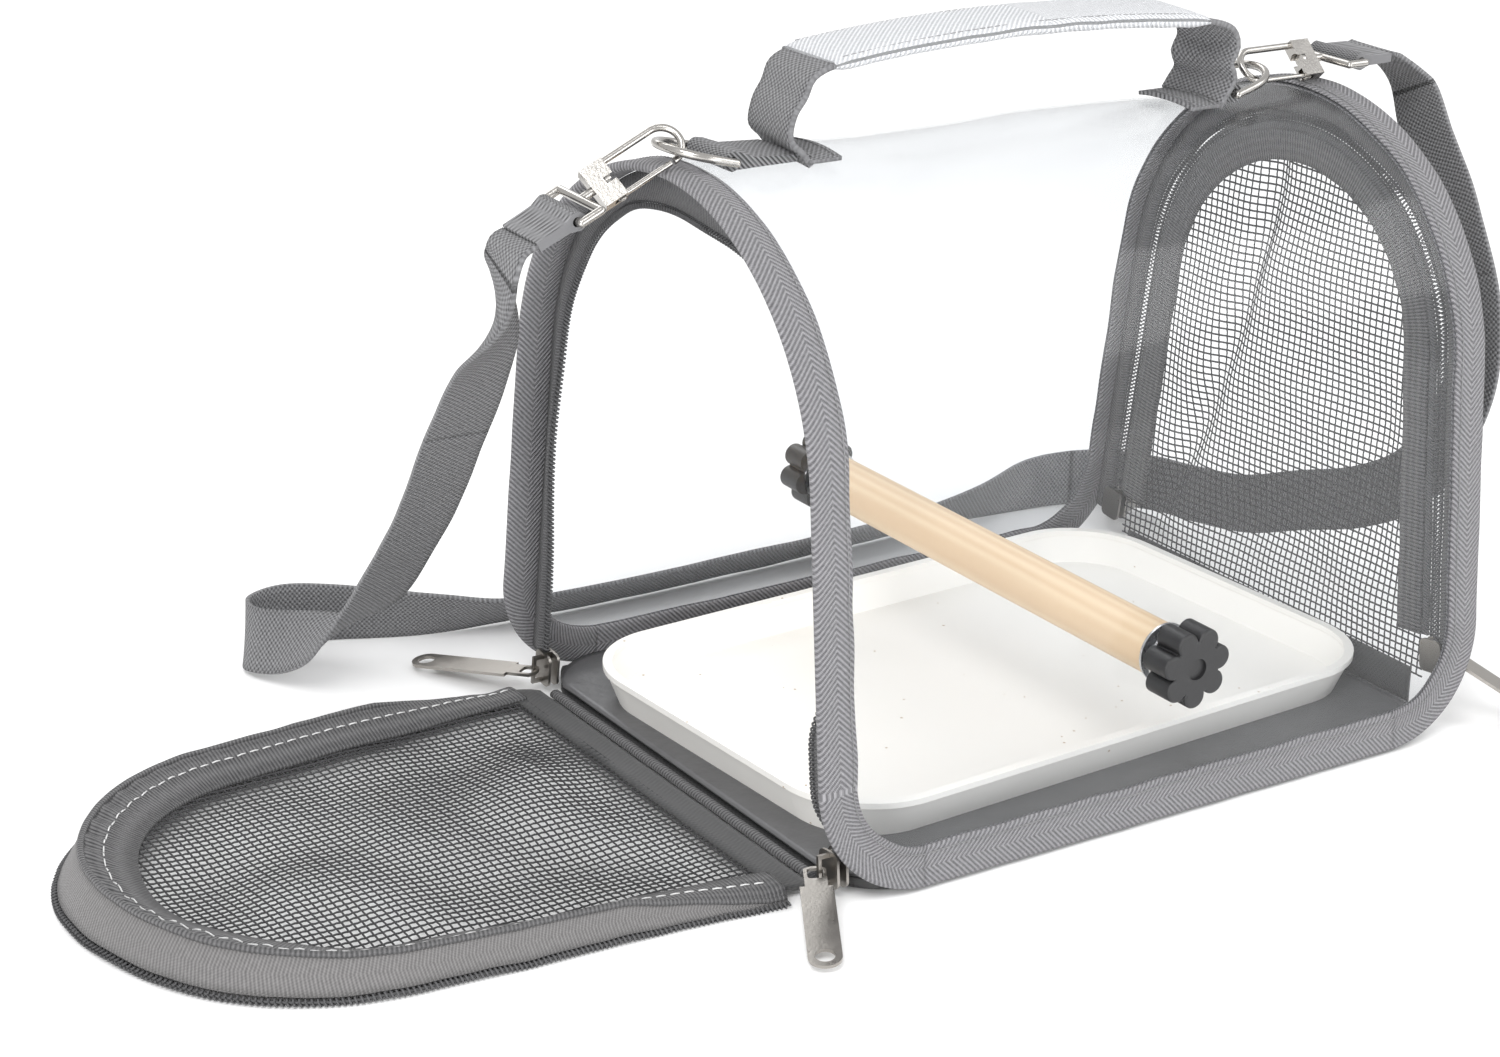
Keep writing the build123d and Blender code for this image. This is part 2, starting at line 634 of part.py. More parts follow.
# ---- shoulder strap: a flat webbing on a free route, in two lengths -------------------------------------------
# Each stop of the route is a centre point and the way the webbing's width runs there.
floor_edge = strap_width / 2 + 0.1
laid_length = 300.0         # cabin length and half width that the route's points were laid out for
laid_half_width = 112.5


def stop(x, y, z, width_way):
    """Stop of the route, kept in step with the cabin's length and width."""
    return (x * cabin_length / laid_length, y * base_half_width / laid_half_width, z), width_way


front_route = [
    stop(-209, 3, 203, (0.1, 1, 0)),
    stop(-207, 8, 192, (0.3, 0.95, 0.05)),
    stop(-202, 20, 176, (0.8, 0.6, 0.1)),
    stop(-198, 34, 160, (1, 0.25, 0)),
    stop(-197, 47, 142, (1, 0.05, 0)),
    stop(-197, 62, 119, (1, 0, 0)),
    stop(-196, 78, 95, (1, 0, 0)),
    stop(-198, 96, 69, (1, 0, 0)),
    stop(-201, 116, 43, (1, 0, 0.1)),
    stop(-209, 133, 26, (0.9, 0.1, 0.4)),
    stop(-220, 151, 17, (0.55, 0.2, 0.8)),
    stop(-228, 168, 13.5, (0.25, 0.1, 0.95)),
    stop(-222, 182, floor_edge, (0, 0, 1)),
    stop(-206, 186, floor_edge, (0, 0, 1)),
    stop(-186, 178, 12.4, (0, -0.2, 0.98)),
    stop(-158, 163, 11.4, (0, -0.5, 0.87)),
    stop(-126, 154, 9.2, (0, -0.75, 0.66)),
    stop(-80, 151, 9, (0, -0.77, 0.64)),
    stop(-30, 151, 9, (0, -0.77, 0.64)),
    stop(20, 152, 9, (0, -0.77, 0.64)),
]
rear_route = [
    stop(20.3, 152, 9, (0, -0.77, 0.64)),
    stop(65, 154, 9, (0, -0.77, 0.64)),
    stop(110, 157, 10.8, (0, -0.6, 0.8)),
    stop(150, 160, floor_edge, (0, -0.1, 1)),
    stop(180, 152, 13, (0, 0.05, 1)),
    stop(194, 128, 15, (0, 0.15, 1)),
    stop(192, 98, 20, (0, 0.2, 1)),
    stop(186, 60, 29, (0, 0.25, 1)),
    stop(179, 20, 45, (0, 0.3, 1)),
    stop(173, -18, 60, (0, 0.4, 0.9)),
    stop(173, -44, 76, (0.1, 0.6, 0.8)),
    stop(178, -57, 98, (0.1, 0.8, 0.6)),
    stop(183, -61, 122, (0.05, 0.95, 0.3)),
    stop(187, -54, 150, (0, 1, 0.2)),
    stop(190, -37, 178, (0, 1, 0.1)),
    stop(193, -16, 204, (0, 1, 0)),
    stop(192, -4, 225, (0, 1, 0)),
]


def end_stops(frame):
    """First stops of a strap length, straight on from the sewn loop on its swivel."""
    reaches = (lap_gap, lap_gap + 5)
    return [(tuple(frame.origin + frame.x_dir * reach), tuple(frame.z_dir)) for reach in reaches]


def make_strap(name, route):
    """Flat webbing as a chain of straight cells between the stops."""
    rings = []
    length = 0.0
    last = len(route) - 1
    for index, (centre, width_way) in enumerate(route):
        before = Vector(*route[max(index - 1, 0)][0])
        after = Vector(*route[min(index + 1, last)][0])
        tangent = (after - before).normalized()
        width = Vector(*width_way)
        width = (width - tangent * width.dot(tangent)).normalized() * (strap_width / 2)
        depth = tangent.cross(width).normalized() * (strap_thick / 2)
        middle = Vector(*centre)
        rings.append([middle + width + depth, middle - width + depth, middle - width - depth, middle + width - depth])
        length += (middle - before).length
    faces = [Face(Wire.make_polygon(rings[0])), Face(Wire.make_polygon(rings[-1]))]
    for ring, following in zip(rings, rings[1:]):
        for k in range(4):
            a, b = ring[k], ring[(k + 1) % 4]
            c, e = following[(k + 1) % 4], following[k]
            faces.append(Face(Wire.make_polygon([a, b, c])))
            faces.append(Face(Wire.make_polygon([a, c, e])))
    write(name, Solid(Shell(faces)))
    print(name, "length", round(length))


make_strap("strap_front_length", end_stops(front_strap_end) + front_route)
make_strap("strap_rear_length", rear_route + end_stops(rear_strap_end)[::-1])
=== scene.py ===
import bpy
import bmesh
from math import sin, cos, tan, pi, radians, sqrt, hypot, exp
from mathutils import Vector, Matrix, noise


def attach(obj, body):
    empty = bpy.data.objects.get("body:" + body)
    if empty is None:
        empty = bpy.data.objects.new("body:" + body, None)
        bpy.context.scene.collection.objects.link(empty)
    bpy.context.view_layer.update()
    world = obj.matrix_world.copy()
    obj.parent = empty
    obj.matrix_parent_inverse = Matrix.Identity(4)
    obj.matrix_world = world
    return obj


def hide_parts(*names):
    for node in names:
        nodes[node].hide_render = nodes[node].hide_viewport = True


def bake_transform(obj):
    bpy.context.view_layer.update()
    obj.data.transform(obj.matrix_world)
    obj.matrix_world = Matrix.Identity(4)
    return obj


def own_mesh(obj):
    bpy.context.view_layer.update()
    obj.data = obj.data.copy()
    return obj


# Bird travel carrier. Lengths below are in millimetres unless a name says otherwise;
# mesh builders scale them to metres.

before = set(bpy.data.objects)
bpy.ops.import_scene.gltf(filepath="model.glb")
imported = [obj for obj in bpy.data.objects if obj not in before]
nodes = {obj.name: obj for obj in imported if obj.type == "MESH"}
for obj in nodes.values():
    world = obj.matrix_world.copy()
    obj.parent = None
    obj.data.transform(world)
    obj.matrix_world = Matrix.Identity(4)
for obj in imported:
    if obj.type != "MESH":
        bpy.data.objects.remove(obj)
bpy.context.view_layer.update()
MM = 0.001

# ---- camera --------------------------------------------------------------------
# The place is in metres. Yaw turns from +Y towards +X, pitch looks down, roll tips; all in radians.
camera_data = bpy.data.cameras.new("camera")
camera = bpy.data.objects.new("camera", camera_data)
bpy.context.scene.collection.objects.link(camera)
bpy.context.scene.camera = camera
camera_place = (-0.680866, -0.846305, 0.486243)
yaw = 0.586
pitch = 0.364
roll = 0.027
ahead = Vector((sin(yaw) * cos(pitch), cos(yaw) * cos(pitch), -sin(pitch)))
right = ahead.cross(Vector((0, 0, 1))).normalized()
upward = right.cross(ahead)
right_rolled = right * cos(roll) + upward * sin(roll)
up_rolled = upward * cos(roll) - right * sin(roll)
turn = Matrix((right_rolled, up_rolled, -ahead)).transposed().to_4x4()
camera.matrix_world = Matrix.Translation(camera_place) @ turn
camera_data.lens = 73.75
camera_data.sensor_width = 36
camera_data.shift_x = 0.0142
camera_data.shift_y = -0.0069
camera_data.clip_start = 0.05

# ---- arch ----------------------------------------------------------------------
# The cabin's outline is two straight legs that lean in, joined by one arc over the top.
LEAN = radians(6.2)
HALF_BASE = 112.5
HEIGHT = 230.0
HALF_LENGTH = 150.0
SHEET_INSET = 1.8
SHEET_THICK = 0.8
BINDING_DEPTH = 3.6
STATION = 2.2               # spacing of the sections along a swept band
ARCH_R = (HALF_BASE * cos(LEAN) - HEIGHT * sin(LEAN)) / (1 - sin(LEAN))
ARCH_Z = HEIGHT - ARCH_R
SWEEP = pi / 2 - LEAN
SHEET_R = ARCH_R - SHEET_INSET
CURVED = SHEET_R * SWEEP
EDGE_RISE = 0.8             # the fold along the base stays this far above the floor
HALF_GIRTH = CURVED + (ARCH_Z + SHEET_R * sin(LEAN)) / cos(LEAN) - EDGE_RISE


def arch(s, inset):
    """Point (y, z) at girth s from the crown (far side positive), moved in by inset."""
    side = 1 if s >= 0 else -1
    reach = abs(s)
    radius = ARCH_R - inset
    if reach <= CURVED:
        angle = reach / SHEET_R
        return side * radius * sin(angle), ARCH_Z + radius * cos(angle)
    rest = reach - CURVED
    y = radius * cos(LEAN) + rest * sin(LEAN)
    z = ARCH_Z + radius * sin(LEAN) - rest * cos(LEAN)
    return side * y, z


def ripple(x, y, z, size, depth):
    """Soft unevenness, the same at every run."""
    return noise.noise(Vector((x / size, y / size, z / size))) * depth


# ---- mesh builders ---------------------------------------------------------------
def add_object(name, mesh, body, material, stands_for=(), smooth=True):
    """Puts a mesh in the scene, on its body and slot, in the place of the nodes it stands for."""
    piece = bpy.data.objects.new(name, mesh)
    bpy.context.scene.collection.objects.link(piece)
    mesh.materials.append(material)
    if smooth:
        for face in mesh.polygons:
            face.use_smooth = True
    if body:
        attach(piece, body)
    if stands_for:
        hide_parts(*stands_for)
    return piece


def mesh_from(name, points, faces, uvs=None):
    """Mesh from points in mm; uvs gives one (u, v) pair per point, in mm."""
    mesh = bpy.data.meshes.new(name)
    mesh.from_pydata([(x * MM, y * MM, z * MM) for x, y, z in points], [], faces)
    if uvs:
        layer = mesh.uv_layers.new(name="mm")
        for loop in mesh.loops:
            layer.data[loop.index].uv = uvs[loop.vertex_index]
    mesh.update()
    tidy = bmesh.new()
    tidy.from_mesh(mesh)
    bmesh.ops.recalc_face_normals(tidy, faces=tidy.faces)
    tidy.to_mesh(mesh)
    tidy.free()
    return mesh


def skin_faces(rows, columns):
    """Faces round a row of closed sections, with a cap over each end."""
    faces = []
    for i in range(rows - 1):
        for j in range(columns):
            a = i * columns + j
            b = i * columns + (j + 1) % columns
            faces.append((a, b, b + columns, a + columns))
    faces.append(tuple(range(columns)))
    faces.append(tuple(range((rows - 1) * columns, rows * columns)))
    return faces


def slab_faces(rows, columns):
    """Faces of a sheet: a grid of points on each side, and the rim between them."""
    count = rows * columns
    faces = []
    for i in range(rows - 1):
        for j in range(columns - 1):
            a = i * columns + j
            b = a + columns
            faces.append((a, b, b + 1, a + 1))
            faces.append((count + a, count + a + 1, count + b + 1, count + b))
    rim = [i * columns for i in range(rows)]
    rim += [(rows - 1) * columns + j for j in range(1, columns)]
    rim += [i * columns + columns - 1 for i in range(rows - 2, -1, -1)]
    rim += list(range(columns - 2, 0, -1))
    for k, a in enumerate(rim):
        b = rim[(k + 1) % len(rim)]
        faces.append((a, b, count + b, count + a))
    return faces


def band(widths, half):
    """Section of a flat band: out along its top and back along its underside."""
    return [(w, half) for w in widths] + [(w, -half) for w in reversed(widths)]


def swept(name, stations, profile, place):
    """Sweeps a closed profile of (width, lift) pairs; place(t, width, lift) gives the point."""
    points = []
    uvs = []
    for t in stations:
        for width, lift in profile:
            points.append(place(t, width, lift))
            uvs.append((width, t))
    return mesh_from(name, points, skin_faces(len(stations), len(profile)), uvs)


def steps(low, high, pitch):
    """Even steps of about the pitch, with both ends in."""
    count = max(2, int(round((high - low) / pitch)) + 1)
    return [low + (high - low) * i / (count - 1) for i in range(count)]


def smooth_path(points, pitch):
    """Smooth curve through tuples of numbers, with a new tuple at about every pitch."""
    result = []
    last = len(points) - 1
    for k in range(last):
        p0 = points[max(k - 1, 0)]
        p1 = points[k]
        p2 = points[k + 1]
        p3 = points[min(k + 2, last)]
        span = sqrt(sum((p2[i] - p1[i]) ** 2 for i in range(3)))
        count = max(1, int(round(span / pitch)))
        for m in range(count):
            t = m / count
            spot = []
            for a, b, c, d in zip(p0, p1, p2, p3):
                bend = (2 * a - 5 * b + 4 * c - d) * t * t + (3 * b - a - 3 * c + d) * t ** 3
                spot.append(0.5 * (2 * b + (c - a) * t + bend))
            result.append(tuple(spot))
    result.append(tuple(points[last]))
    return result


RIBBON_PITCH = 2.0
RIBBON_OVERLAP = 2.5        # a stretch starts this much early, so that it meets the one before
SELVEDGE = 0.075            # the edges are this much fuller on each side
WHOLE = 1e9                 # past any tape's length


def ribbon(name, stops, width, thick, wave, low=0.0, high=WHOLE):
    """Flat tape along stops of (centre, width way); edges a little fuller than the middle.

    low and high keep only the stretch between those lengths along the tape.
    """
    path = smooth_path([tuple(c) + tuple(w) for c, w in stops], RIBBON_PITCH)
    lanes = 8
    ring = []
    for side in (1, -1):
        for k in range(lanes + 1):
            fuller = SELVEDGE if k in (0, lanes) else 0
            ring.append((side * width * (k / lanes - 0.5), side * (thick / 2 + fuller)))
    points = []
    uvs = []
    run = 0.0
    for i, stop in enumerate(path):
        centre = Vector(stop[:3])
        before = Vector(path[max(i - 1, 0)][:3])
        after = Vector(path[min(i + 1, len(path) - 1)][:3])
        tangent = (after - before).normalized()
        across = Vector(stop[3:6])
        across = (across - tangent * across.dot(tangent)).normalized()
        face = tangent.cross(across)
        run += (centre - before).length if i else 0
        if not low - RIBBON_OVERLAP < run < high:
            continue
        for w, lift in ring:
            shift = ripple(run, w * 0.6, 7, 18, wave)
            point = centre + across * w + face * (lift + shift)
            points.append(tuple(point))
            uvs.append((w, run))
    return mesh_from(name, points, skin_faces(len(points) // len(ring), len(ring)), uvs)


def tube_path(points, faces, line, radius, sides=5):
    """Adds a round thread along a line of points to the lists."""
    start = len(points)
    last = len(line) - 1
    for i, centre in enumerate(line):
        before = line[max(i - 1, 0)]
        after = line[min(i + 1, last)]
        tangent = (after - before).normalized()
        helper = Vector((0, 0, 1)) if abs(tangent.z) < 0.9 else Vector((1, 0, 0))
        a = tangent.cross(helper).normalized()
        b = tangent.cross(a)
        for k in range(sides):
            angle = 2 * pi * k / sides
            points.append(tuple(centre + a * cos(angle) * radius + b * sin(angle) * radius))
    for i in range(last):
        for k in range(sides):
            q = start + i * sides
            faces.append((q + k, q + (k + 1) % sides, q + sides + (k + 1) % sides, q + sides + k))
    faces.append(tuple(start + k for k in range(sides)))
    faces.append(tuple(start + last * sides + k for k in range(sides)))


def add_threads(name, body, lines, radius, material, stands_for=(), sides=5):
    """One piece of several round threads, such as a row of stitches or a net."""
    points = []
    faces = []
    for line in lines:
        tube_path(points, faces, line, radius, sides)
    add_object(name, mesh_from(name, points, faces), body, material, stands_for)


WEAVE_STEP = 1.2            # length of weave along one side of a folded end's outline


def pierced_bar(name, shapes, widths, place, uv_at=None):
    """Solid with a hole through it: an outline and its hole carried along the widths, ends capped.

    place(a, b, w) gives a point in metres. uv_at gives the weave's place from such a point; without
    it the weave runs along the corners of each outline, and the caps stay plain.
    """
    work = bmesh.new()
    layer = work.loops.layers.uv.new("mm")
    groups = []
    for shape in shapes:
        rows = [[work.verts.new(place(a, b, w)) for a, b in shape] for w in widths]
        groups.append(rows)
        size = len(shape)
        for i in range(len(widths) - 1):
            for j in range(size):
                k = (j + 1) % size
                made = work.faces.new((rows[i][j], rows[i][k], rows[i + 1][k], rows[i + 1][j]))
                corners = ((i, j), (i, j + 1), (i + 1, j + 1), (i + 1, j))
                for item, (row, corner) in zip(made.loops, corners):
                    item[layer].uv = (widths[row], corner * WEAVE_STEP)
    for index in (0, len(widths) - 1):
        edges = []
        for rows in groups:
            ring = rows[index]
            for j in range(len(ring)):
                edges.append(work.edges.get((ring[j], ring[(j + 1) % len(ring)])))
        bmesh.ops.triangle_fill(work, edges=edges, use_beauty=True)
    bmesh.ops.recalc_face_normals(work, faces=work.faces)
    if uv_at:
        for face in work.faces:
            for item in face.loops:
                item[layer].uv = uv_at(item.vert.co)
    mesh = bpy.data.meshes.new(name)
    work.to_mesh(mesh)
    work.free()
    return mesh


# ---- material helpers --------------------------------------------------------------
def new_material(name, color, roughness=0.5, metallic=0.0):
    """Material with one shader; gives the material, its nodes and the shader."""
    material = bpy.data.materials.new(name)
    material.use_nodes = True
    shader = material.node_tree.nodes["Principled BSDF"]
    shader.inputs["Base Color"].default_value = (*color, 1)
    shader.inputs["Roughness"].default_value = roughness
    shader.inputs["Metallic"].default_value = metallic
    return material, material.node_tree, shader


def math_node(tree, operation, a, b=None):
    """Result of a maths node; each value is a number or another node's output."""
    node = tree.nodes.new("ShaderNodeMath")
    node.operation = operation
    for index, value in enumerate((a, b)):
        if value is None:
            continue
        if isinstance(value, (int, float)):
            node.inputs[index].default_value = value
        else:
            tree.links.new(value, node.inputs[index])
    return node.outputs[0]


def mix_colors(tree, factor, dark, light):
    """Colour between a dark and a light tone."""
    node = tree.nodes.new("ShaderNodeMix")
    node.data_type = "RGBA"
    tree.links.new(factor, node.inputs["Factor"])
    node.inputs["A"].default_value = (*dark, 1)
    node.inputs["B"].default_value = (*light, 1)
    return node.outputs["Result"]


def add_bump(tree, shader, height, distance, strength=1.0):
    """Gives the shader a relief from a height; the distance is in metres."""
    bump = tree.nodes.new("ShaderNodeBump")
    bump.inputs["Distance"].default_value = distance
    bump.inputs["Strength"].default_value = strength
    tree.links.new(height, bump.inputs["Height"])
    tree.links.new(bump.outputs["Normal"], shader.inputs["Normal"])
    return bump


def make_grain_group():
    """Soft grain over a surface, from a place on it."""
    group = bpy.data.node_groups.new("grain", "ShaderNodeTree")
    group.interface.new_socket("Place", in_out="INPUT", socket_type="NodeSocketVector")
    for label in ("Scale", "Detail", "Roughness"):
        group.interface.new_socket(label, in_out="INPUT", socket_type="NodeSocketFloat")
    group.interface.new_socket("Tone", in_out="OUTPUT", socket_type="NodeSocketFloat")
    entry = group.nodes.new("NodeGroupInput")
    leave = group.nodes.new("NodeGroupOutput")
    cloud = group.nodes.new("ShaderNodeTexNoise")
    group.links.new(entry.outputs["Place"], cloud.inputs["Vector"])
    for label in ("Scale", "Detail", "Roughness"):
        group.links.new(entry.outputs[label], cloud.inputs[label])
    group.links.new(cloud.outputs["Fac"], leave.inputs["Tone"])
    return group


grain_group = make_grain_group()


def add_grain(tree, place, scale, detail=3.0, rough=0.6):
    """The grain group's tone at a place."""
    node = tree.nodes.new("ShaderNodeGroup")
    node.node_tree = grain_group
    tree.links.new(place, node.inputs["Place"])
    node.inputs["Scale"].default_value = scale
    node.inputs["Detail"].default_value = detail
    node.inputs["Roughness"].default_value = rough
    return node.outputs["Tone"]


def yarn_wave(group, along, pitch):
    """Wave between 0 and 1 that repeats at every pitch."""
    wave = math_node(group, "SINE", math_node(group, "MULTIPLY", along, 2 * pi / pitch))
    return math_node(group, "ADD", math_node(group, "MULTIPLY", wave, 0.5), 0.5)


def make_weave_group(name, fold, pitch_u, pitch_v, skew):
    """Yarn height and wear from tape coordinates in mm; fold mirrors them about the middle line."""
    group = bpy.data.node_groups.new(name, "ShaderNodeTree")
    group.interface.new_socket("Middle", in_out="INPUT", socket_type="NodeSocketFloat")
    group.interface.new_socket("Height", in_out="OUTPUT", socket_type="NodeSocketFloat")
    group.interface.new_socket("Wear", in_out="OUTPUT", socket_type="NodeSocketFloat")
    entry = group.nodes.new("NodeGroupInput")
    leave = group.nodes.new("NodeGroupOutput")
    place = group.nodes.new("ShaderNodeUVMap")
    place.uv_map = "mm"
    split = group.nodes.new("ShaderNodeSeparateXYZ")
    group.links.new(place.outputs["UV"], split.inputs[0])
    u = math_node(group, "SUBTRACT", split.outputs["X"], entry.outputs["Middle"])
    if fold:
        u = math_node(group, "ABSOLUTE", u)
    v = split.outputs["Y"]
    slanted = math_node(group, "ADD", math_node(group, "MULTIPLY", u, skew), v)
    cross = math_node(group, "SUBTRACT", u, math_node(group, "MULTIPLY", v, skew if fold else 0.0))
    rib = yarn_wave(group, slanted, pitch_v)
    yarn = yarn_wave(group, cross, pitch_u)
    if fold:
        height = math_node(group, "ADD", math_node(group, "MULTIPLY", rib, 0.75),
                           math_node(group, "MULTIPLY", yarn, 0.25))
    else:
        product = math_node(group, "MULTIPLY", math_node(group, "SUBTRACT", rib, 0.5),
                            math_node(group, "SUBTRACT", yarn, 0.5))
        height = math_node(group, "ADD", math_node(group, "MULTIPLY", product, 2.0), 0.5)
    fuzz = group.nodes.new("ShaderNodeTexNoise")
    fuzz.inputs["Scale"].default_value = 0.9
    fuzz.inputs["Detail"].default_value = 4.0
    group.links.new(place.outputs["UV"], fuzz.inputs["Vector"])
    group.links.new(height, leave.inputs["Height"])
    group.links.new(fuzz.outputs["Fac"], leave.inputs["Wear"])
    return group


twill = make_weave_group("twill yarns", True, 0.8, 2.1, 1.0)
plain = make_weave_group("plain yarns", False, 2.3, 1.9, 0.0)
fine_ribs = make_weave_group("fine ribs", True, 0.6, 1.2, 0.35)
cross_ribs = make_weave_group("cross ribs", True, 3.0, 1.5, 0.0)


def woven_material(name, group, middle, dark, light, depth, roughness=0.85):
    """Cloth from one of the weaves, with painted shade: dark between its yarns and light on their tops, with
    random wear over it.
    """
    material, tree, shader = new_material(name, light, roughness)
    weave = tree.nodes.new("ShaderNodeGroup")
    weave.node_tree = group
    weave.inputs["Middle"].default_value = middle
    wear = math_node(tree, "SUBTRACT", weave.outputs["Wear"], 0.5)
    # Painted shade: the colour runs dark where the yarns dip and light on their tops; the wear noise adds
    # random tone.
    tone = math_node(tree, "ADD", weave.outputs["Height"], math_node(tree, "MULTIPLY", wear, 0.9))
    tree.links.new(mix_colors(tree, tone, dark, light), shader.inputs["Base Color"])
    add_bump(tree, shader, weave.outputs["Height"], depth)
    shader.inputs["Sheen Weight"].default_value = 0.15
    shader.inputs["Sheen Roughness"].default_value = 0.6
    shader.inputs["Specular IOR Level"].default_value = 0.3
    return material


# name, weave, middle line of the tape in mm, dark tone, light tone, depth in metres
# The dark tone is the painted shade between the yarns.
binding_cloth = woven_material("binding twill", twill, 7.5, (0.085, 0.084, 0.09), (0.31, 0.305, 0.32), 0.0006)
tape_cloth = woven_material("zip tape", fine_ribs, 4.0, (0.05, 0.05, 0.053), (0.15, 0.15, 0.155), 0.0004)
wall_cloth = woven_material("zip tape wall", fine_ribs, 4.0, (0.1, 0.097, 0.097), (0.2, 0.194, 0.194), 0.0003)
webbing_cloth = woven_material("strap webbing", plain, 0.0, (0.045, 0.045, 0.047), (0.27, 0.27, 0.28), 0.0007)
ribbed_cloth = woven_material("ribbed tape", cross_ribs, 0.0, (0.034, 0.034, 0.036), (0.15, 0.148, 0.152),
                              0.0007)
sleeve_cloth = woven_material("sleeve twill", twill, 0.0, (0.4, 0.41, 0.43), (0.78, 0.79, 0.81), 0.0005)
sill_cloth = woven_material("sill cloth", plain, 0.0, (0.032, 0.032, 0.033), (0.06, 0.06, 0.061), 0.0001, 0.7)


def thread_material(name, color):
    """Matt thread with fine grain."""
    material, tree, shader = new_material(name, color, 0.7)
    place = tree.nodes.new("ShaderNodeTexCoord")
    grain = add_grain(tree, place.outputs["Object"], 900, 2)
    dark = tuple(c * 0.75 for c in color)
    light = tuple(c * 1.35 for c in color)
    tree.links.new(mix_colors(tree, grain, dark, light), shader.inputs["Base Color"])
    add_bump(tree, shader, grain, 0.00008)
    return material


net_yarn = thread_material("net yarn", (0.035, 0.035, 0.037))
coil_nylon = thread_material("zip coil", (0.075, 0.075, 0.078))
seam_thread = thread_material("seam thread", (0.62, 0.62, 0.62))
grey_thread = thread_material("grey thread", (0.22, 0.22, 0.225))


def make_clear_material():
    """Clear soft sheet: see-through, with a gloss that grows at a slant and a little haze."""
    material, tree, shader = new_material("clear vinyl", (0.93, 0.94, 0.95), 0.25)
    place = tree.nodes.new("ShaderNodeTexCoord")
    swell = add_grain(tree, place.outputs["Object"], 9, 3, 0.5)
    fine = add_grain(tree, place.outputs["Object"], 70, 2, 0.5)
    height = math_node(tree, "ADD", swell, math_node(tree, "MULTIPLY", fine, 0.12))
    bump = add_bump(tree, shader, height, 0.002, 0.32)
    clear = tree.nodes.new("ShaderNodeBsdfTransparent")
    clear.inputs["Color"].default_value = (0.955, 0.96, 0.965, 1)
    gloss = tree.nodes.new("ShaderNodeBsdfGlossy")
    gloss.inputs["Roughness"].default_value = 0.13
    tree.links.new(bump.outputs["Normal"], gloss.inputs["Normal"])
    rim = tree.nodes.new("ShaderNodeLayerWeight")
    tree.links.new(bump.outputs["Normal"], rim.inputs["Normal"])
    grazing = math_node(tree, "POWER", rim.outputs["Facing"], 5.0)
    shine = math_node(tree, "ADD", math_node(tree, "MULTIPLY", grazing, 0.4), 0.018)
    skin = tree.nodes.new("ShaderNodeMixShader")
    tree.links.new(shine, skin.inputs[0])
    tree.links.new(clear.outputs[0], skin.inputs[1])
    tree.links.new(gloss.outputs[0], skin.inputs[2])
    haze = tree.nodes.new("ShaderNodeMixShader")
    haze.inputs[0].default_value = 0.012
    tree.links.new(skin.outputs[0], haze.inputs[1])
    tree.links.new(shader.outputs[0], haze.inputs[2])
    tree.links.new(haze.outputs[0], tree.nodes["Material Output"].inputs["Surface"])
    return material


clear_vinyl = make_clear_material()


def make_metal(name, color, roughness, scratch):
    """Plated metal, smeared and finely scratched."""
    material, tree, shader = new_material(name, color, roughness, 1.0)
    place = tree.nodes.new("ShaderNodeTexCoord")
    smear = add_grain(tree, place.outputs["Object"], 160, 4)
    fine = add_grain(tree, place.outputs["Object"], 900, 2)
    spread = math_node(tree, "ADD", math_node(tree, "MULTIPLY", smear, 0.22), roughness - 0.08)
    tree.links.new(spread, shader.inputs["Roughness"])
    add_bump(tree, shader, math_node(tree, "ADD", fine, math_node(tree, "MULTIPLY", smear, 0.5)), scratch)
    return material


nickel = make_metal("nickel plate", (0.43, 0.415, 0.395), 0.2, 0.00004)
zip_nickel = make_metal("zip nickel", (0.36, 0.34, 0.315), 0.28, 0.00006)
insert_brass = make_metal("turned brass", (0.62, 0.47, 0.22), 0.28, 0.00005)
bright_steel = make_metal("plated steel", (0.62, 0.62, 0.63), 0.25, 0.00005)


def make_tray_plastic():
    """Cream plastic with sparse brown specks."""
    cream = (0.9, 0.885, 0.85)
    brown = (0.5, 0.4, 0.3)
    material, tree, shader = new_material("speckled plastic", cream, 0.32)
    place = tree.nodes.new("ShaderNodeTexCoord")
    cells = tree.nodes.new("ShaderNodeTexVoronoi")
    cells.inputs["Scale"].default_value = 190
    tree.links.new(place.outputs["Object"], cells.inputs["Vector"])
    pick = add_grain(tree, place.outputs["Object"], 60, 2)
    near = math_node(tree, "LESS_THAN", cells.outputs["Distance"], 0.11)
    few = math_node(tree, "GREATER_THAN", pick, 0.6)
    speck = math_node(tree, "MULTIPLY", near, few)
    tree.links.new(mix_colors(tree, speck, cream, brown), shader.inputs["Base Color"])
    swell = add_grain(tree, place.outputs["Object"], 40, 3)
    add_bump(tree, shader, swell, 0.00035)
    return material


tray_plastic = make_tray_plastic()


def make_pine():
    """Sanded wood with its grain along Y, as the dowel lies."""
    material, tree, shader = new_material("sanded pine", (0.75, 0.55, 0.35), 0.55)
    place = tree.nodes.new("ShaderNodeTexCoord")
    stretch = tree.nodes.new("ShaderNodeMapping")
    stretch.inputs["Scale"].default_value = (95, 5, 95)
    tree.links.new(place.outputs["Object"], stretch.inputs["Vector"])
    grain = add_grain(tree, stretch.outputs[0], 1.0, 5, 0.65)
    lines = tree.nodes.new("ShaderNodeTexWave")
    lines.bands_direction = "X"
    lines.inputs["Scale"].default_value = 0.9
    lines.inputs["Distortion"].default_value = 3.5
    tree.links.new(stretch.outputs[0], lines.inputs["Vector"])
    tone = math_node(tree, "ADD", math_node(tree, "MULTIPLY", grain, 0.6),
                     math_node(tree, "MULTIPLY", lines.outputs["Fac"], 0.4))
    colors = mix_colors(tree, tone, (0.66, 0.45, 0.27), (0.84, 0.68, 0.47))
    tree.links.new(colors, shader.inputs["Base Color"])
    add_bump(tree, shader, tone, 0.0002)
    return material


pine = make_pine()


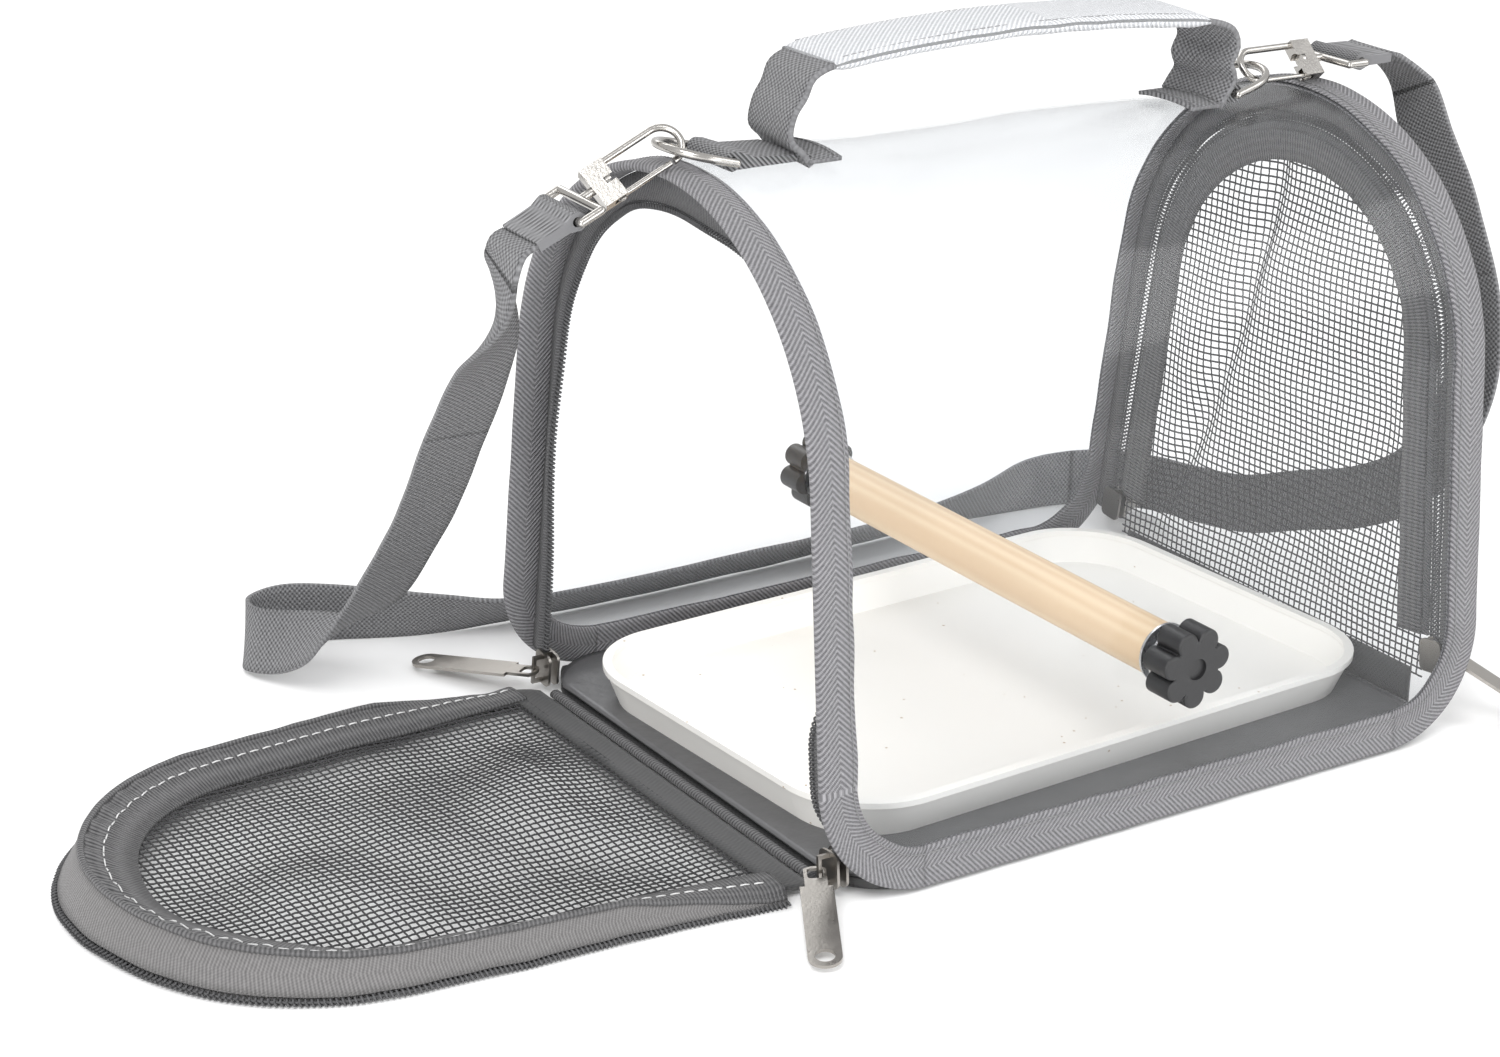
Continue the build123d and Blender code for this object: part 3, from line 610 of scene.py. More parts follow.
def make_satin(name, color, roughness, scale, depth):
    """Plain finish with a little grain."""
    material, tree, shader = new_material(name, color, roughness)
    place = tree.nodes.new("ShaderNodeTexCoord")
    grain = add_grain(tree, place.outputs["Object"], scale, 3)
    dark = tuple(c * 0.8 for c in color)
    light = tuple(c * 1.25 for c in color)
    tree.links.new(mix_colors(tree, grain, dark, light), shader.inputs["Base Color"])
    add_bump(tree, shader, grain, depth)
    return material


knob_black = make_satin("satin black", (0.016, 0.016, 0.017), 0.42, 700, 0.00006)
board_grey = make_satin("board", (0.06, 0.06, 0.06), 0.7, 300, 0.0001)
lining_grey = make_satin("coated lining", (0.1, 0.1, 0.103), 0.38, 120, 0.0004)

# ---- clear wrap -----------------------------------------------------------------
# Laid flat, the sheet's edge is a rectangle with rounded corners, over length x and girth s.
CORNER = 43.0
FOLD = 1.0                  # room between the sheet's edge and the binding's fold
EDGE_X = HALF_LENGTH + FOLD
EDGE_S = HALF_GIRTH


def edge_loop(pitch):
    """Stations round the sheet's edge: (x, s, inward x, inward s, run)."""
    straight_s = EDGE_S - CORNER
    straight_x = EDGE_X - CORNER
    bends = int(CORNER * pi / 2 / pitch)
    parts = []
    for s in steps(-straight_s, straight_s, pitch)[:-1]:
        parts.append((-EDGE_X, s, 1, 0))
    for k in range(bends):
        a = pi / 2 * k / bends
        parts.append((-straight_x - CORNER * cos(a), straight_s + CORNER * sin(a), cos(a), -sin(a)))
    for x in steps(-straight_x, straight_x, pitch)[:-1]:
        parts.append((x, EDGE_S, 0, -1))
    for k in range(bends):
        a = pi / 2 * k / bends
        parts.append((straight_x + CORNER * sin(a), straight_s + CORNER * cos(a), -sin(a), -cos(a)))
    for x, s, nx, ns in list(parts):
        parts.append((-x, -s, -nx, -ns))
    result = []
    run = 0.0
    for i, (x, s, nx, ns) in enumerate(parts):
        if i:
            run += hypot(x - parts[i - 1][0], s - parts[i - 1][1])
        result.append((x, s, nx, ns, run))
    return result


def sheet_swell(x, s):
    """How far the clear sheet stands out of its true arch: soft dents, none at its bound edges."""
    bound = 14
    room = min(1, max(0, (EDGE_X - abs(x) - bound) / 45)) * min(1, max(0, (EDGE_S - abs(s) - bound) / 40))
    dent = ripple(x, s, 3, 75, 4.0) + ripple(x, s, 9, 32, 1.0)
    crown = exp(-(s / 30) ** 2) * (1 - (x / 150) ** 2)
    sag = -1.3 * exp(-((s + 6) / 16) ** 2) * exp(-((x - 10) / 70) ** 2) - 0.6 * crown
    return room * (dent * 0.55 + sag)


def inside_corner(x, s, margin):
    """The same place, pulled in to the rounded corner where it lies outside it."""
    limit = CORNER - margin
    dx = abs(x) - (EDGE_X - CORNER)
    ds = abs(s) - (EDGE_S - CORNER)
    if dx > 0 and ds > 0 and hypot(dx, ds) > limit:
        scale = limit / hypot(dx, ds)
        x = (1 if x > 0 else -1) * (EDGE_X - CORNER + dx * scale)
        s = (1 if s > 0 else -1) * (EDGE_S - CORNER + ds * scale)
    return x, s


def make_clear_wrap():
    """The clear sheet from base edge to base edge."""
    margin = 3.0
    mesh_size = 4.0
    xs = steps(-EDGE_X + margin, EDGE_X - margin, mesh_size)
    ss = steps(-EDGE_S + margin, EDGE_S - margin, mesh_size)
    points = []
    for depth in (-SHEET_THICK / 2, SHEET_THICK / 2):
        for x in xs:
            for s in ss:
                along, girth = inside_corner(x, s, margin)
                inset = SHEET_INSET + depth - sheet_swell(along, girth)
                points.append((along, *arch(girth, inset)))
    mesh = mesh_from("clear_wrap_sheet", points, slab_faces(len(xs), len(ss)))
    add_object("clear_wrap_sheet", mesh, "root", clear_vinyl, ["clear_wrap"])


make_clear_wrap()

# ---- edge bindings ----------------------------------------------------------------
# Section of the folded tape as (width in from the fold, depth below the outside), round both leaves.
BINDING = [(15, 1.32), (14.7, 0.75), (14.0, 0.35), (12.5, 0.12), (10, 0.0), (8.2, 0.02), (7.5, 0.12),
           (6.8, 0.02), (5, -0.03), (2.6, 0.0), (1.0, 0.35), (0.25, 1.0),
           (0, 1.8), (0.25, 2.6), (1.0, 3.25), (2.6, 3.55),
           (5, 3.6), (10, 3.6), (12.5, 3.5), (14.0, 3.3), (14.7, 2.9), (15, 2.35), (12, 2.28), (6, 2.28),
           (2.4, 2.26), (1.9, 1.8), (2.4, 1.34), (6, 1.32), (12, 1.32)]
BINDING_WIDTH = 15.0
BINDING_CORNER = 42.0       # length of an arch's binding along the base
BINDING_SEAM = 12.6         # the row of stitches, in from the fold
BINDING_THREAD = 0.22
FLOOR_GAP = 0.15


def binding_groups(loop):
    """Names of the four bindings, each with its row of stations round the edge."""
    zone = HALF_LENGTH - BINDING_CORNER
    tests = {"front_arch_binding": lambda x, s: x < -zone,
             "far_base_binding": lambda x, s: abs(x) <= zone and s > 0,
             "rear_arch_binding": lambda x, s: x > zone,
             "near_base_binding": lambda x, s: abs(x) <= zone and s < 0}
    groups = {}
    for name, test in tests.items():
        chosen = [i for i, station in enumerate(loop) if test(station[0], station[1])]
        breaks = [k for k in range(1, len(chosen)) if chosen[k] != chosen[k - 1] + 1]
        if breaks:
            cut = breaks[0]
            chosen = chosen[cut:] + [i + len(loop) for i in chosen[:cut]]
        groups[name] = chosen + [chosen[-1] + 1]
    return groups


def binding_point(station, width, depth):
    """A point of the folded tape, whose free edge wavers and whose outer leaf is puffed."""
    x, s, nx, ns, run = station
    waver = ripple(run, width * 0.2, 2, 22, 0.9) * (0.25 + 0.75 * width / BINDING_WIDTH)
    w = max(0.0, width + (waver if width > 1 else 0))
    puff = 0.6 * ripple(run, w, 5, 14, 0.45) if depth < 1.2 else 0
    y, z = arch(s + ns * w, depth - puff)
    return x + nx * w, y, max(z, FLOOR_GAP)


def binding_stitch(station, following):
    """One stitch between two stations, bowed a little out of the cloth."""
    start = Vector(binding_point(station, BINDING_SEAM, -0.08))
    end = Vector(binding_point(following, BINDING_SEAM, -0.08))
    middle = start.lerp(end, 0.5)
    middle = middle + (middle - Vector((middle.x, 0, ARCH_Z))).normalized() * 0.12
    return [start.lerp(end, 0.12), middle, start.lerp(end, 0.88)]


def make_bindings():
    """Folded tape round the whole edge of the clear sheet, in four pieces."""
    loop = edge_loop(STATION)
    total = loop[-1][4]
    for name, chosen in binding_groups(loop).items():
        points = []
        uvs = []
        stations = [loop[k % len(loop)] for k in chosen]
        for k, station in zip(chosen, stations):
            run = station[4] + (total if k >= len(loop) else 0)
            for width, depth in BINDING:
                points.append(binding_point(station, width, depth))
                uvs.append((width, run))
        mesh = mesh_from(name + "_tape", points, skin_faces(len(chosen), len(BINDING)), uvs)
        add_object(name + "_tape", mesh, "root", binding_cloth, [name])
        stitches = [binding_stitch(stations[k], stations[k + 1]) for k in range(len(chosen) - 2)]
        add_threads(name + "_seam", "root", stitches, BINDING_THREAD, grey_thread)


make_bindings()


# ---- zips -----------------------------------------------------------------------------
FRONT_ZIP_X = -137.0
REAR_ZIP_X = 143.0
FRONT_ZIP_FOOT = 14.0
REAR_ZIP_FOOT = 22.0
TAPE_WIDTH = 8.0
TAPE_HALF = 0.45            # half the thickness of a zip's tape
COIL_PITCH = 1.7
COIL_HALF_WIDTH = 1.3225
COIL_HALF_HEIGHT = 0.9775
COIL_BESIDE = 1.3           # how far the coil lies beside its tape
COIL_THREAD = 0.42
COIL_CORE = 0.5
TURN_STEPS = 9              # points in one turn of a coil
CORE_STEPS = 200            # points along a coil's core


def make_coil(name, body, line_at, reach, ways_at, node):
    """Nylon coil: a thread wound round a core, on both sides of the crown as far as reach.

    line_at(s) gives the coil's centre, and ways_at(s) its side way and its lift.
    """
    turns = 2 * reach / COIL_PITCH
    count = int(turns * TURN_STEPS)
    line = []
    for i in range(count + 1):
        s = -reach + 2 * reach * i / count
        side, lift = ways_at(s)
        phase = 2 * pi * turns * i / count
        bow = side * (COIL_HALF_WIDTH * cos(phase)) + lift * (COIL_HALF_HEIGHT * sin(phase))
        line.append(line_at(s) + bow)
    points = []
    faces = []
    tube_path(points, faces, line, COIL_THREAD)
    core = [line_at(-reach + 2 * reach * i / CORE_STEPS) for i in range(CORE_STEPS + 1)]
    tube_path(points, faces, core, COIL_CORE, sides=6)
    add_object(name, mesh_from(name, points, faces), body, coil_nylon, [node])


def make_cabin_zip(end, plane, foot):
    """Tape sewn inside the binding and its coil, slack at the crown."""
    reach = CURVED + (ARCH_Z + (ARCH_R - BINDING_DEPTH) * sin(LEAN) - foot) / cos(LEAN)
    droop = 7.0 if end == "front" else 2.0

    def slack(s):
        """How far the tape hangs down and sways along X at girth s."""
        lean = 1 if end == "front" else -1
        crown = exp(-((s + 8) / 46) ** 2)
        wave = ripple(s, 1, 4, 26, 1.0)
        sway = 2.2 * lean * ripple(s, 8, 2, 30, 1.0) * exp(-(s / 120) ** 2)
        if end == "front":
            near_foot = exp(-((s + reach - 34) / 22) ** 4)
            far_leg = exp(-((s - reach + 90) / 40) ** 2)
            sway -= 8.5 * near_foot + 3.0 * far_leg
        return droop * crown + 0.6 * wave, sway

    def tape_point(s, width, lift):
        hang, sway = slack(s)
        part = width / TAPE_WIDTH
        y, z = arch(s, BINDING_DEPTH + width + hang * part)
        return plane + lift + sway * part, y, z

    # The tape is a little thicker along its middle.
    profile = [(0, 0.45), (4, 0.5), (8, 0.42), (8, -0.42), (4, -0.5), (0, -0.45)]
    mesh = swept(f"{end}_cabin_zip_tape", steps(-reach, reach, STATION), profile, tape_point)
    add_object(f"{end}_cabin_zip_tape", mesh, "root", tape_cloth, [f"{end}_zip_cabin_tape"])

    def coil_line(s):
        hang, sway = slack(s)
        y, z = arch(s, BINDING_DEPTH + TAPE_WIDTH + COIL_BESIDE + hang)
        return Vector((plane + sway, y, z))

    def coil_ways(s):
        y0, z0 = arch(s, 10)
        y1, z1 = arch(s, 11)
        return Vector((0, y1 - y0, z1 - z0)).normalized(), Vector((1, 0, 0))

    make_coil(f"{end}_cabin_zip_coil", "root", coil_line, reach, coil_ways, f"{end}_zip_cabin_teeth")


make_cabin_zip("front", FRONT_ZIP_X, FRONT_ZIP_FOOT)
make_cabin_zip("rear", REAR_ZIP_X, REAR_ZIP_FOOT)


# ---- mesh doors ------------------------------------------------------------------------
# A door is drawn as if shut, across (y) and up (height); the front one is then laid open.
DOOR_INSET = 15.2
HINGE_Z = 0.75
FRONT_HINGE_X = -141.0
FRONT_RIM_FOOT = 17
REAR_RIM_FOOT = 33
REAR_BORDER_IN = 5.6        # how far in the rear border and net start
BORDER_WIDTH = 12.0
SILL_WIDTH = 16.0
NET_PITCH = 3.0
NET_YARN = 0.4
NET_WEAVE = 0.1


def door_half(height, inset):
    """Half width of the door's outline at a height above the floor when shut."""
    radius = ARCH_R - inset
    spring = ARCH_Z + radius * sin(LEAN)
    if height <= spring:
        return HALF_BASE - inset / cos(LEAN) - height * tan(LEAN)
    rise = height - ARCH_Z
    return sqrt(max(0.0, radius * radius - rise * rise))


def front_place(y, height, level):
    """A height on the shut door becomes a length away from the hinge; level is up from the floor."""
    return FRONT_HINGE_X - (height - HINGE_Z), y, level


def make_net(name, body, inset, low, place, dip, node):
    """Woven net that fills a door's outline, its threads over and under one another."""
    top = ARCH_Z + ARCH_R - inset
    lines = []
    count = int(door_half(low, inset) / NET_PITCH)
    for i in range(-count, count + 1):
        y = i * NET_PITCH
        height = low
        line = []
        while height <= top:
            if door_half(height, inset) < abs(y):
                break
            weave = NET_WEAVE * (1 if (int(round(height / NET_PITCH * 2)) + i) % 2 else -1)
            line.append(Vector(place(y, height, dip(y, height) + weave)))
            height += NET_PITCH / 2
        if len(line) > 2:
            lines.append(line)
    height = low
    j = 0
    while height <= top - 1:
        half = door_half(height, inset)
        line = []
        for k in range(int(2 * half / (NET_PITCH / 2)) + 1):
            y = -half + k * NET_PITCH / 2
            weave = NET_WEAVE * (1 if (int(round(y / NET_PITCH * 2)) + j) % 2 else -1)
            line.append(Vector(place(y, height, dip(y, height) - weave)))
        if len(line) > 2:
            lines.append(line)
        height += NET_PITCH
        j += 1
    add_threads(name, body, lines, NET_YARN, net_yarn, [node], sides=4)


def rim_reach(foot):
    """Girth from the crown of a door's rim down to the height of its foot."""
    radius = ARCH_R - DOOR_INSET
    spring = ARCH_Z + radius * sin(LEAN)
    return radius * SWEEP + (spring - foot) / cos(LEAN)


FRONT_RIM = rim_reach(FRONT_RIM_FOOT)
REAR_RIM = rim_reach(REAR_RIM_FOOT)


def outline_point(s, inset, out):
    """Point (y, height) of a door's outline at girth s, moved outwards by out."""
    radius = ARCH_R - inset
    curved = radius * SWEEP
    side = 1 if s >= 0 else -1
    reach = abs(s)
    if reach <= curved:
        a = reach / radius
        return side * (radius + out) * sin(a), ARCH_Z + (radius + out) * cos(a)
    rest = reach - curved
    y = (radius + out) * cos(LEAN) + rest * sin(LEAN)
    z = ARCH_Z + (radius + out) * sin(LEAN) - rest * cos(LEAN)
    return side * y, z


def front_dip(y, height):
    """Level of the open front door's net above the floor, in mm."""
    along = height / 215.0
    wave = 1.6 * sin(y * 0.055 + height * 0.02) + ripple(y, height, 6, 40, 3.0)
    edge = 1 - min(1, abs(y) / max(1, door_half(height, DOOR_INSET)))
    free = min(1, edge * 4) * min(1, max(0, (height - 14) / 30))
    return 4.0 + (1.2 + wave) * free + 2.0 * along


def front_flare(s):
    """Outward lean of the front door's rim: most round its tip."""
    tip = exp(-(s / 130) ** 2)
    return 11.0 * tip + 3.0 + ripple(s, 3, 3, 45, 2.0)


def front_rim_height(s):
    """Height of the front door's rim: least at its feet and most round its tip."""
    left = FRONT_RIM - abs(s)
    return 12.5 * min(1, max(0.12, left / 60)) + 3.5 * exp(-(s / 90) ** 2)


FRONT_RIM_INSET = DOOR_INSET + 1.2
ROLL_SIDES = 10


def front_rim_point(s, up, out):
    """Point of the front door's wall; up runs from 0 at the floor to 1 at the rim's top."""
    y, height = outline_point(s, FRONT_RIM_INSET, front_flare(s) * (0.35 + 0.65 * (1 - up)) + out)
    lift = 0.7 + front_rim_height(s) * up + 0.5 * ripple(s, up * 9, 2, 12, 1.0)
    return front_place(y, height, max(0.35, lift))


FRONT_STATIONS = steps(-FRONT_RIM, FRONT_RIM, STATION)


def front_wall_point(s, w, lift):
    """Zip tape that stands up from the floor to the rim's top."""
    low = 0.16
    return front_rim_point(s, low + (1 - low) * w / TAPE_WIDTH, lift)


def front_coil_point(s):
    return Vector(front_rim_point(s, 0.05, 0))


def front_coil_ways(s):
    outer = Vector(front_rim_point(s, 0.05, 1))
    return (outer - front_coil_point(s)).normalized(), Vector((0, 0, 1))


def front_gather(s):
    """Puckers of the ribbed tape, deepest round the tip."""
    tip = exp(-(s / 85) ** 2)
    return tip * 1.5 * sin(s * 0.55) + 0.5 * ripple(s, 0, 1, 10, 1.0)


def front_border_point(s, w, lift):
    """Ribbed tape from the rim's top down to the net."""
    part = w / BORDER_WIDTH
    top = Vector(front_rim_point(s, 1.0, 0.4))
    y, height = outline_point(s, FRONT_RIM_INSET, -w * 0.95 + front_flare(s) * (0.35 - 0.5 * part))
    foot = Vector(front_place(y, height, front_dip(y, height) + 0.8))
    bow = 1.6 * sin(pi * part)
    spot = top.lerp(foot, part)
    spot.z += bow + lift + front_gather(s) * sin(pi * min(1, part * 1.3)) * 0.9
    return tuple(spot)


def front_roll_point(s, w, lift):
    """Round roll along the rim's top; w counts its sides."""
    spot = Vector(front_rim_point(s, 1.0, 0.2))
    angle = w / ROLL_SIDES * 2 * pi
    outer = outline_point(s, DOOR_INSET, 1)
    inner = outline_point(s, DOOR_INSET, 0)
    out = (Vector(front_place(*outer, 0)) - Vector(front_place(*inner, 0))).normalized()
    return tuple(spot + out * (1.25 * cos(angle)) + Vector((0, 0, 1.1 * sin(angle))))


def front_sill_point(y, w, lift):
    """Cloth strip beside the hinge, rising to meet the net."""
    part = w / SILL_WIDTH
    level = 0.95 + 3.4 * min(1, part * 1.15) ** 0.7 + 0.5 * ripple(y, w, 3, 24, 1.0) * part
    return front_place(y, 1.7 + w, level + lift)


def front_stitches():
    """Pale stitches round the ribbed tape, each bowed up in its middle."""
    seam_width = 7.6
    half_stitch = 1.7
    stitches = []
    s = -FRONT_RIM + 6
    while s < FRONT_RIM - 6:
        marks = ((s, 0.8), (s + half_stitch, 0.95), (s + 2 * half_stitch, 0.8))
        stitches.append([Vector(front_border_point(mark, seam_width, lift)) for mark, lift in marks])
        s += 5.2
    return stitches


def make_front_door():
    """Door laid open on the floor: wall, coil, ribbed tape, rolled edge, stitches, net and sill."""
    body = "front_door"
    wall = swept("front_door_wall", FRONT_STATIONS, band((0, 2, 4, 6, 8), 0.5), front_wall_point)
    add_object("front_door_wall", wall, body, wall_cloth, ["front_door_zip_tape"])
    make_coil("front_door_coil", body, front_coil_point, FRONT_RIM, front_coil_ways, "front_door_zip_teeth")
    tape_section = band((0, 2, 4, 6, 8, 10, 12), 0.6)
    border = swept("front_door_ribbed_tape", FRONT_STATIONS, tape_section, front_border_point)
    add_object("front_door_ribbed_tape", border, body, ribbed_cloth, ["front_door_border"])
    roll_section = [(k, 0) for k in range(ROLL_SIDES)]
    roll = swept("front_door_rolled_edge", FRONT_STATIONS, roll_section, front_roll_point)
    add_object("front_door_rolled_edge", roll, body, ribbed_cloth)
    add_threads("front_door_stitches", body, front_stitches(), 0.3, seam_thread)
    make_net("front_door_net", body, DOOR_INSET + 1.5, 14, front_place, front_dip, "front_door_mesh")
    half = door_half(16, DOOR_INSET + 2)
    sill_section = band((0, 4, 8, 12, 16), 0.45)
    sill = swept("front_door_sill_cloth", steps(-half, half, 2.5), sill_section, front_sill_point)
    add_object("front_door_sill_cloth", sill, body, sill_cloth, ["front_door_sill"])


make_front_door()


def rear_bulge(y, height):
    """Rear net: a soft vertical fold near the far side and shallow waves."""
    half = max(1, door_half(height, DOOR_INSET + 10.6))
    edge = min(1, max(0, 4 * (1 - abs(y) / half))) * min(1, max(0, (height - 16) / 25))
    edge *= min(1, max(0, (214 - height) / 18))
    fold_y = 18 + 0.0016 * (height - 210) ** 2
    fold = 4.5 * exp(-((y - fold_y) / 7) ** 2)
    return edge * (fold + 2.2 * sin(height * 0.035 + y * 0.03) + ripple(y, height, 2, 34, 2.6))


def rear_place(y, height, level):
    """The rear door stands shut; level is out from its plane."""
    return REAR_ZIP_X + level, y, height


def make_rear_door():
    """Shut door: coil, zip tape, ribbed tape, net and sill."""
    stations = steps(-REAR_RIM, REAR_RIM, STATION)

    def coil_line(s):
        y, z = outline_point(s, DOOR_INSET, -COIL_BESIDE)
        return Vector((REAR_ZIP_X, y, z))

    def coil_ways(s):
        y0, z0 = outline_point(s, DOOR_INSET, 0)
        y1, z1 = outline_point(s, DOOR_INSET, 1)
        return Vector((0, y1 - y0, z1 - z0)).normalized(), Vector((1, 0, 0))

    make_coil("rear_door_coil", "rear_door", coil_line, REAR_RIM, coil_ways, "rear_door_zip_teeth")

    def tape_point(s, w, lift):
        y, z = outline_point(s, DOOR_INSET, -2 * COIL_BESIDE - w)
        return REAR_ZIP_X + lift + 0.5 * ripple(s, w, 2, 14, 1.0), y, z

    tape = swept("rear_door_tape", stations, band((0, 4, 8), TAPE_HALF), tape_point)
    add_object("rear_door_tape", tape, "rear_door", tape_cloth, ["rear_door_zip_tape"])

    def border_point(s, w, lift):
        y, z = outline_point(s, DOOR_INSET, -REAR_BORDER_IN - w)
        return REAR_ZIP_X - 1.15 + lift + 0.5 * ripple(s, w, 6, 11, 1.0), y, z

    border = swept("rear_door_ribbed_tape", stations, band((0, 3, 6, 9, 12), 0.55), border_point)
    add_object("rear_door_ribbed_tape", border, "rear_door", ribbed_cloth, ["rear_door_border"])
    inset = DOOR_INSET + REAR_BORDER_IN
    make_net("rear_door_net", "rear_door", inset, 15, rear_place, rear_bulge, "rear_door_mesh")

    def sill_point(y, w, lift):
        return REAR_ZIP_X + lift + 0.6 * ripple(y, w, 3, 20, 1.0), y, 1.9 + w

    half = door_half(17, DOOR_INSET + 11)
    sill = swept("rear_door_sill_cloth", steps(-half, half, 2.5), band((0, 5, 10, 15), 0.5), sill_point)
    add_object("rear_door_sill_cloth", sill, "rear_door", sill_cloth, ["rear_door_sill"])


make_rear_door()

# ---- base ---------------------------------------------------------------------------
FLOOR_FRONT = -136.9
FLOOR_REAR = 139.0
FLOOR_CORNER = 30
FLOOR_IN = 4.2              # the floor stops this far inside the base's half width


def floor_half(x):
    """Half width of the floor at x: straight sides with rounded corners."""
    room = min(x - FLOOR_FRONT, FLOOR_REAR - x)
    half = HALF_BASE - FLOOR_IN
    if room < FLOOR_CORNER:
        half -= FLOOR_CORNER - sqrt(max(0, FLOOR_CORNER ** 2 - (FLOOR_CORNER - room) ** 2))
    return half


def lining_crease(x, y, half):
    """Creases that stand up along the lining's near and far sides, none at its very edge."""
    edge = min(1, 6 * (1 - abs(y) / max(1, half)))
    beside = max(0, (abs(y) - 82) / 20)
    return edge * beside * 3.2 * abs(noise.noise(Vector((x / 24, y / 14, 1))))


def make_floor_layer(name, z_low, z_high, material, node, creased):
    """One layer of the floor, with rounded corners."""
    xs = steps(FLOOR_FRONT + 1.1, FLOOR_REAR - 1.1, 3.0)
    columns = 61
    points = []
    for top in (False, True):
        for x in xs:
            half = floor_half(x)
            for j in range(columns):
                y = half * (2 * j / (columns - 1) - 1)
                z = z_high if top else z_low
                if top and creased:
                    z += lining_crease(x, y, half)
                points.append((x, y, z))
    uvs = [(y, x) for x, y, z in points]
    mesh = mesh_from(name, points, slab_faces(len(xs), columns), uvs)
    add_object(name, mesh, "root", material, [node])


make_floor_layer("under_cloth", 0.1, 1.4, sill_cloth, "base_cloth", False)
make_floor_layer("floor_lining_cloth", 4.05, 4.8, lining_grey, "floor_lining", True)


HEM_SIDES = 12


def make_hem(name, x_low, x_high, node):
    """Rolled tape across an end of the floor, on which the door turns."""
    half = HALF_BASE - DOOR_INSET / cos(LEAN) - 10

    def place(y, w, lift):
        middle = (x_low + x_high) / 2
        angle = w / HEM_SIDES * 2 * pi
        x = middle + (x_high - x_low) / 2 * cos(angle)
        z = 1.85 + 1.7 * sin(angle) + 0.25 * ripple(y, 0, 3, 15, 1.0)
        return x, y, max(0.1, z)

    mesh = swept(name, steps(-half, half, 2.5), [(k, 0) for k in range(HEM_SIDES)], place)
    add_object(name, mesh, "root", ribbed_cloth, [node])


make_hem("front_hem_tape", -141.3, FLOOR_FRONT, "front_hem")
make_hem("rear_hem_tape", FLOOR_REAR, 142.2, "rear_hem")

# ---- hard pieces carried over ------------------------------------------------------------
FINISHES = {
    "tray": tray_plastic, "perch_dowel": pine, "perch_inserts": insert_brass, "perch_washers": bright_steel,
    "near_knob": knob_black, "far_knob": knob_black, "base_board": board_grey,
    "near_knob_stud": bright_steel, "far_knob_stud": bright_steel,
}
for end in ("front", "rear"):
    for metal in ("ring", "hook", "hook_gate", "swivel"):
        FINISHES[f"{end}_{metal}"] = nickel
    for side in ("near", "far"):
        FINISHES[f"{end}_{side}_slider"] = zip_nickel
        FINISHES[f"{end}_{side}_pull"] = zip_nickel
THIN_EDGE = 0.2
SOFTENED = {"near_knob": 0.7, "far_knob": 0.7, "tray": 0.5, "front_hook": 0.35, "rear_hook": 0.35,
            "perch_dowel": 0.6}
for name, material in FINISHES.items():
    piece = nodes[name]
    piece.data.materials.clear()
    piece.data.materials.append(material)
    bevel = piece.modifiers.new("soft edges", "BEVEL")
    bevel.width = SOFTENED.get(name, THIN_EDGE) * MM
    bevel.segments = 2
    bevel.limit_method = "ANGLE"
    bevel.angle_limit = radians(35)
    for face in piece.data.polygons:
        face.use_smooth = True
    sharp = piece.modifiers.new("even shading", "WEIGHTED_NORMAL")
    sharp.keep_sharp = True


# ---- handle ---------------------------------------------------------------------------------
HANDLE_FRONT = -101.0
HANDLE_REAR = 84.0
HANDLE_WIDTH = 30
HANDLE_THICK = 2.0
HANDLE_THREAD = 0.25
FOOT_LENGTH = 14
SLEEVE_IN = 9.5             # how far in from the handle's ends the sleeve starts
SLEEVE_SIDES = 28
# Stops of each leg's middle line, from its foot to the strip.
HANDLE_LEGS = {
    "front": [(-98.5, 0, 228.6), (-101.5, 0, 232.5), (-106.5, 0, 238), (-105.5, 0, 246), (-101.5, 0, 252),
              (-98.5, 0, 257.5), (-93, 0, 260.5), (-86, 0, 261.7)],
    "rear": [(82.5, 0, 229.5), (85, 0, 233), (88.5, 0, 238.5), (86, 0, 244.5), (88.5, 0, 250.5),
             (86, 0, 256.5), (79, 0, 260.3), (70, 0, 261.9)],
}


def handle_level(x):
    """Height of the handle's strip over its length: a shallow arch."""
    low = HANDLE_FRONT + 0.3
    high = HANDLE_REAR - 0.3
    part = (x - low) / (high - low)
    return 259.5 + 6.0 * 4 * part * (1 - part)


def stitch_row(low, high, pitch, place):
    """Stitches of three points each, at every pitch from low until high is reached."""
    stitches = []
    t = low
    while t < high:
        stitches.append([Vector(place(t + part)) for part in (0, 1.1, 2.2)])
        t += pitch
    return stitches


def make_handle_leg(end, twist, nodes_replaced):
    """Webbing that rises from the foot on the cabin to the handle's strip, left on no body."""
    stops = [(spot, (twist, 1, 0)) for spot in HANDLE_LEGS[end]]
    mesh = ribbon(f"{end}_handle_leg", stops, HANDLE_WIDTH, HANDLE_THICK, 0.8)
    piece = add_object(f"{end}_handle_leg", mesh, None, webbing_cloth, nodes_replaced)
    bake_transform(piece)


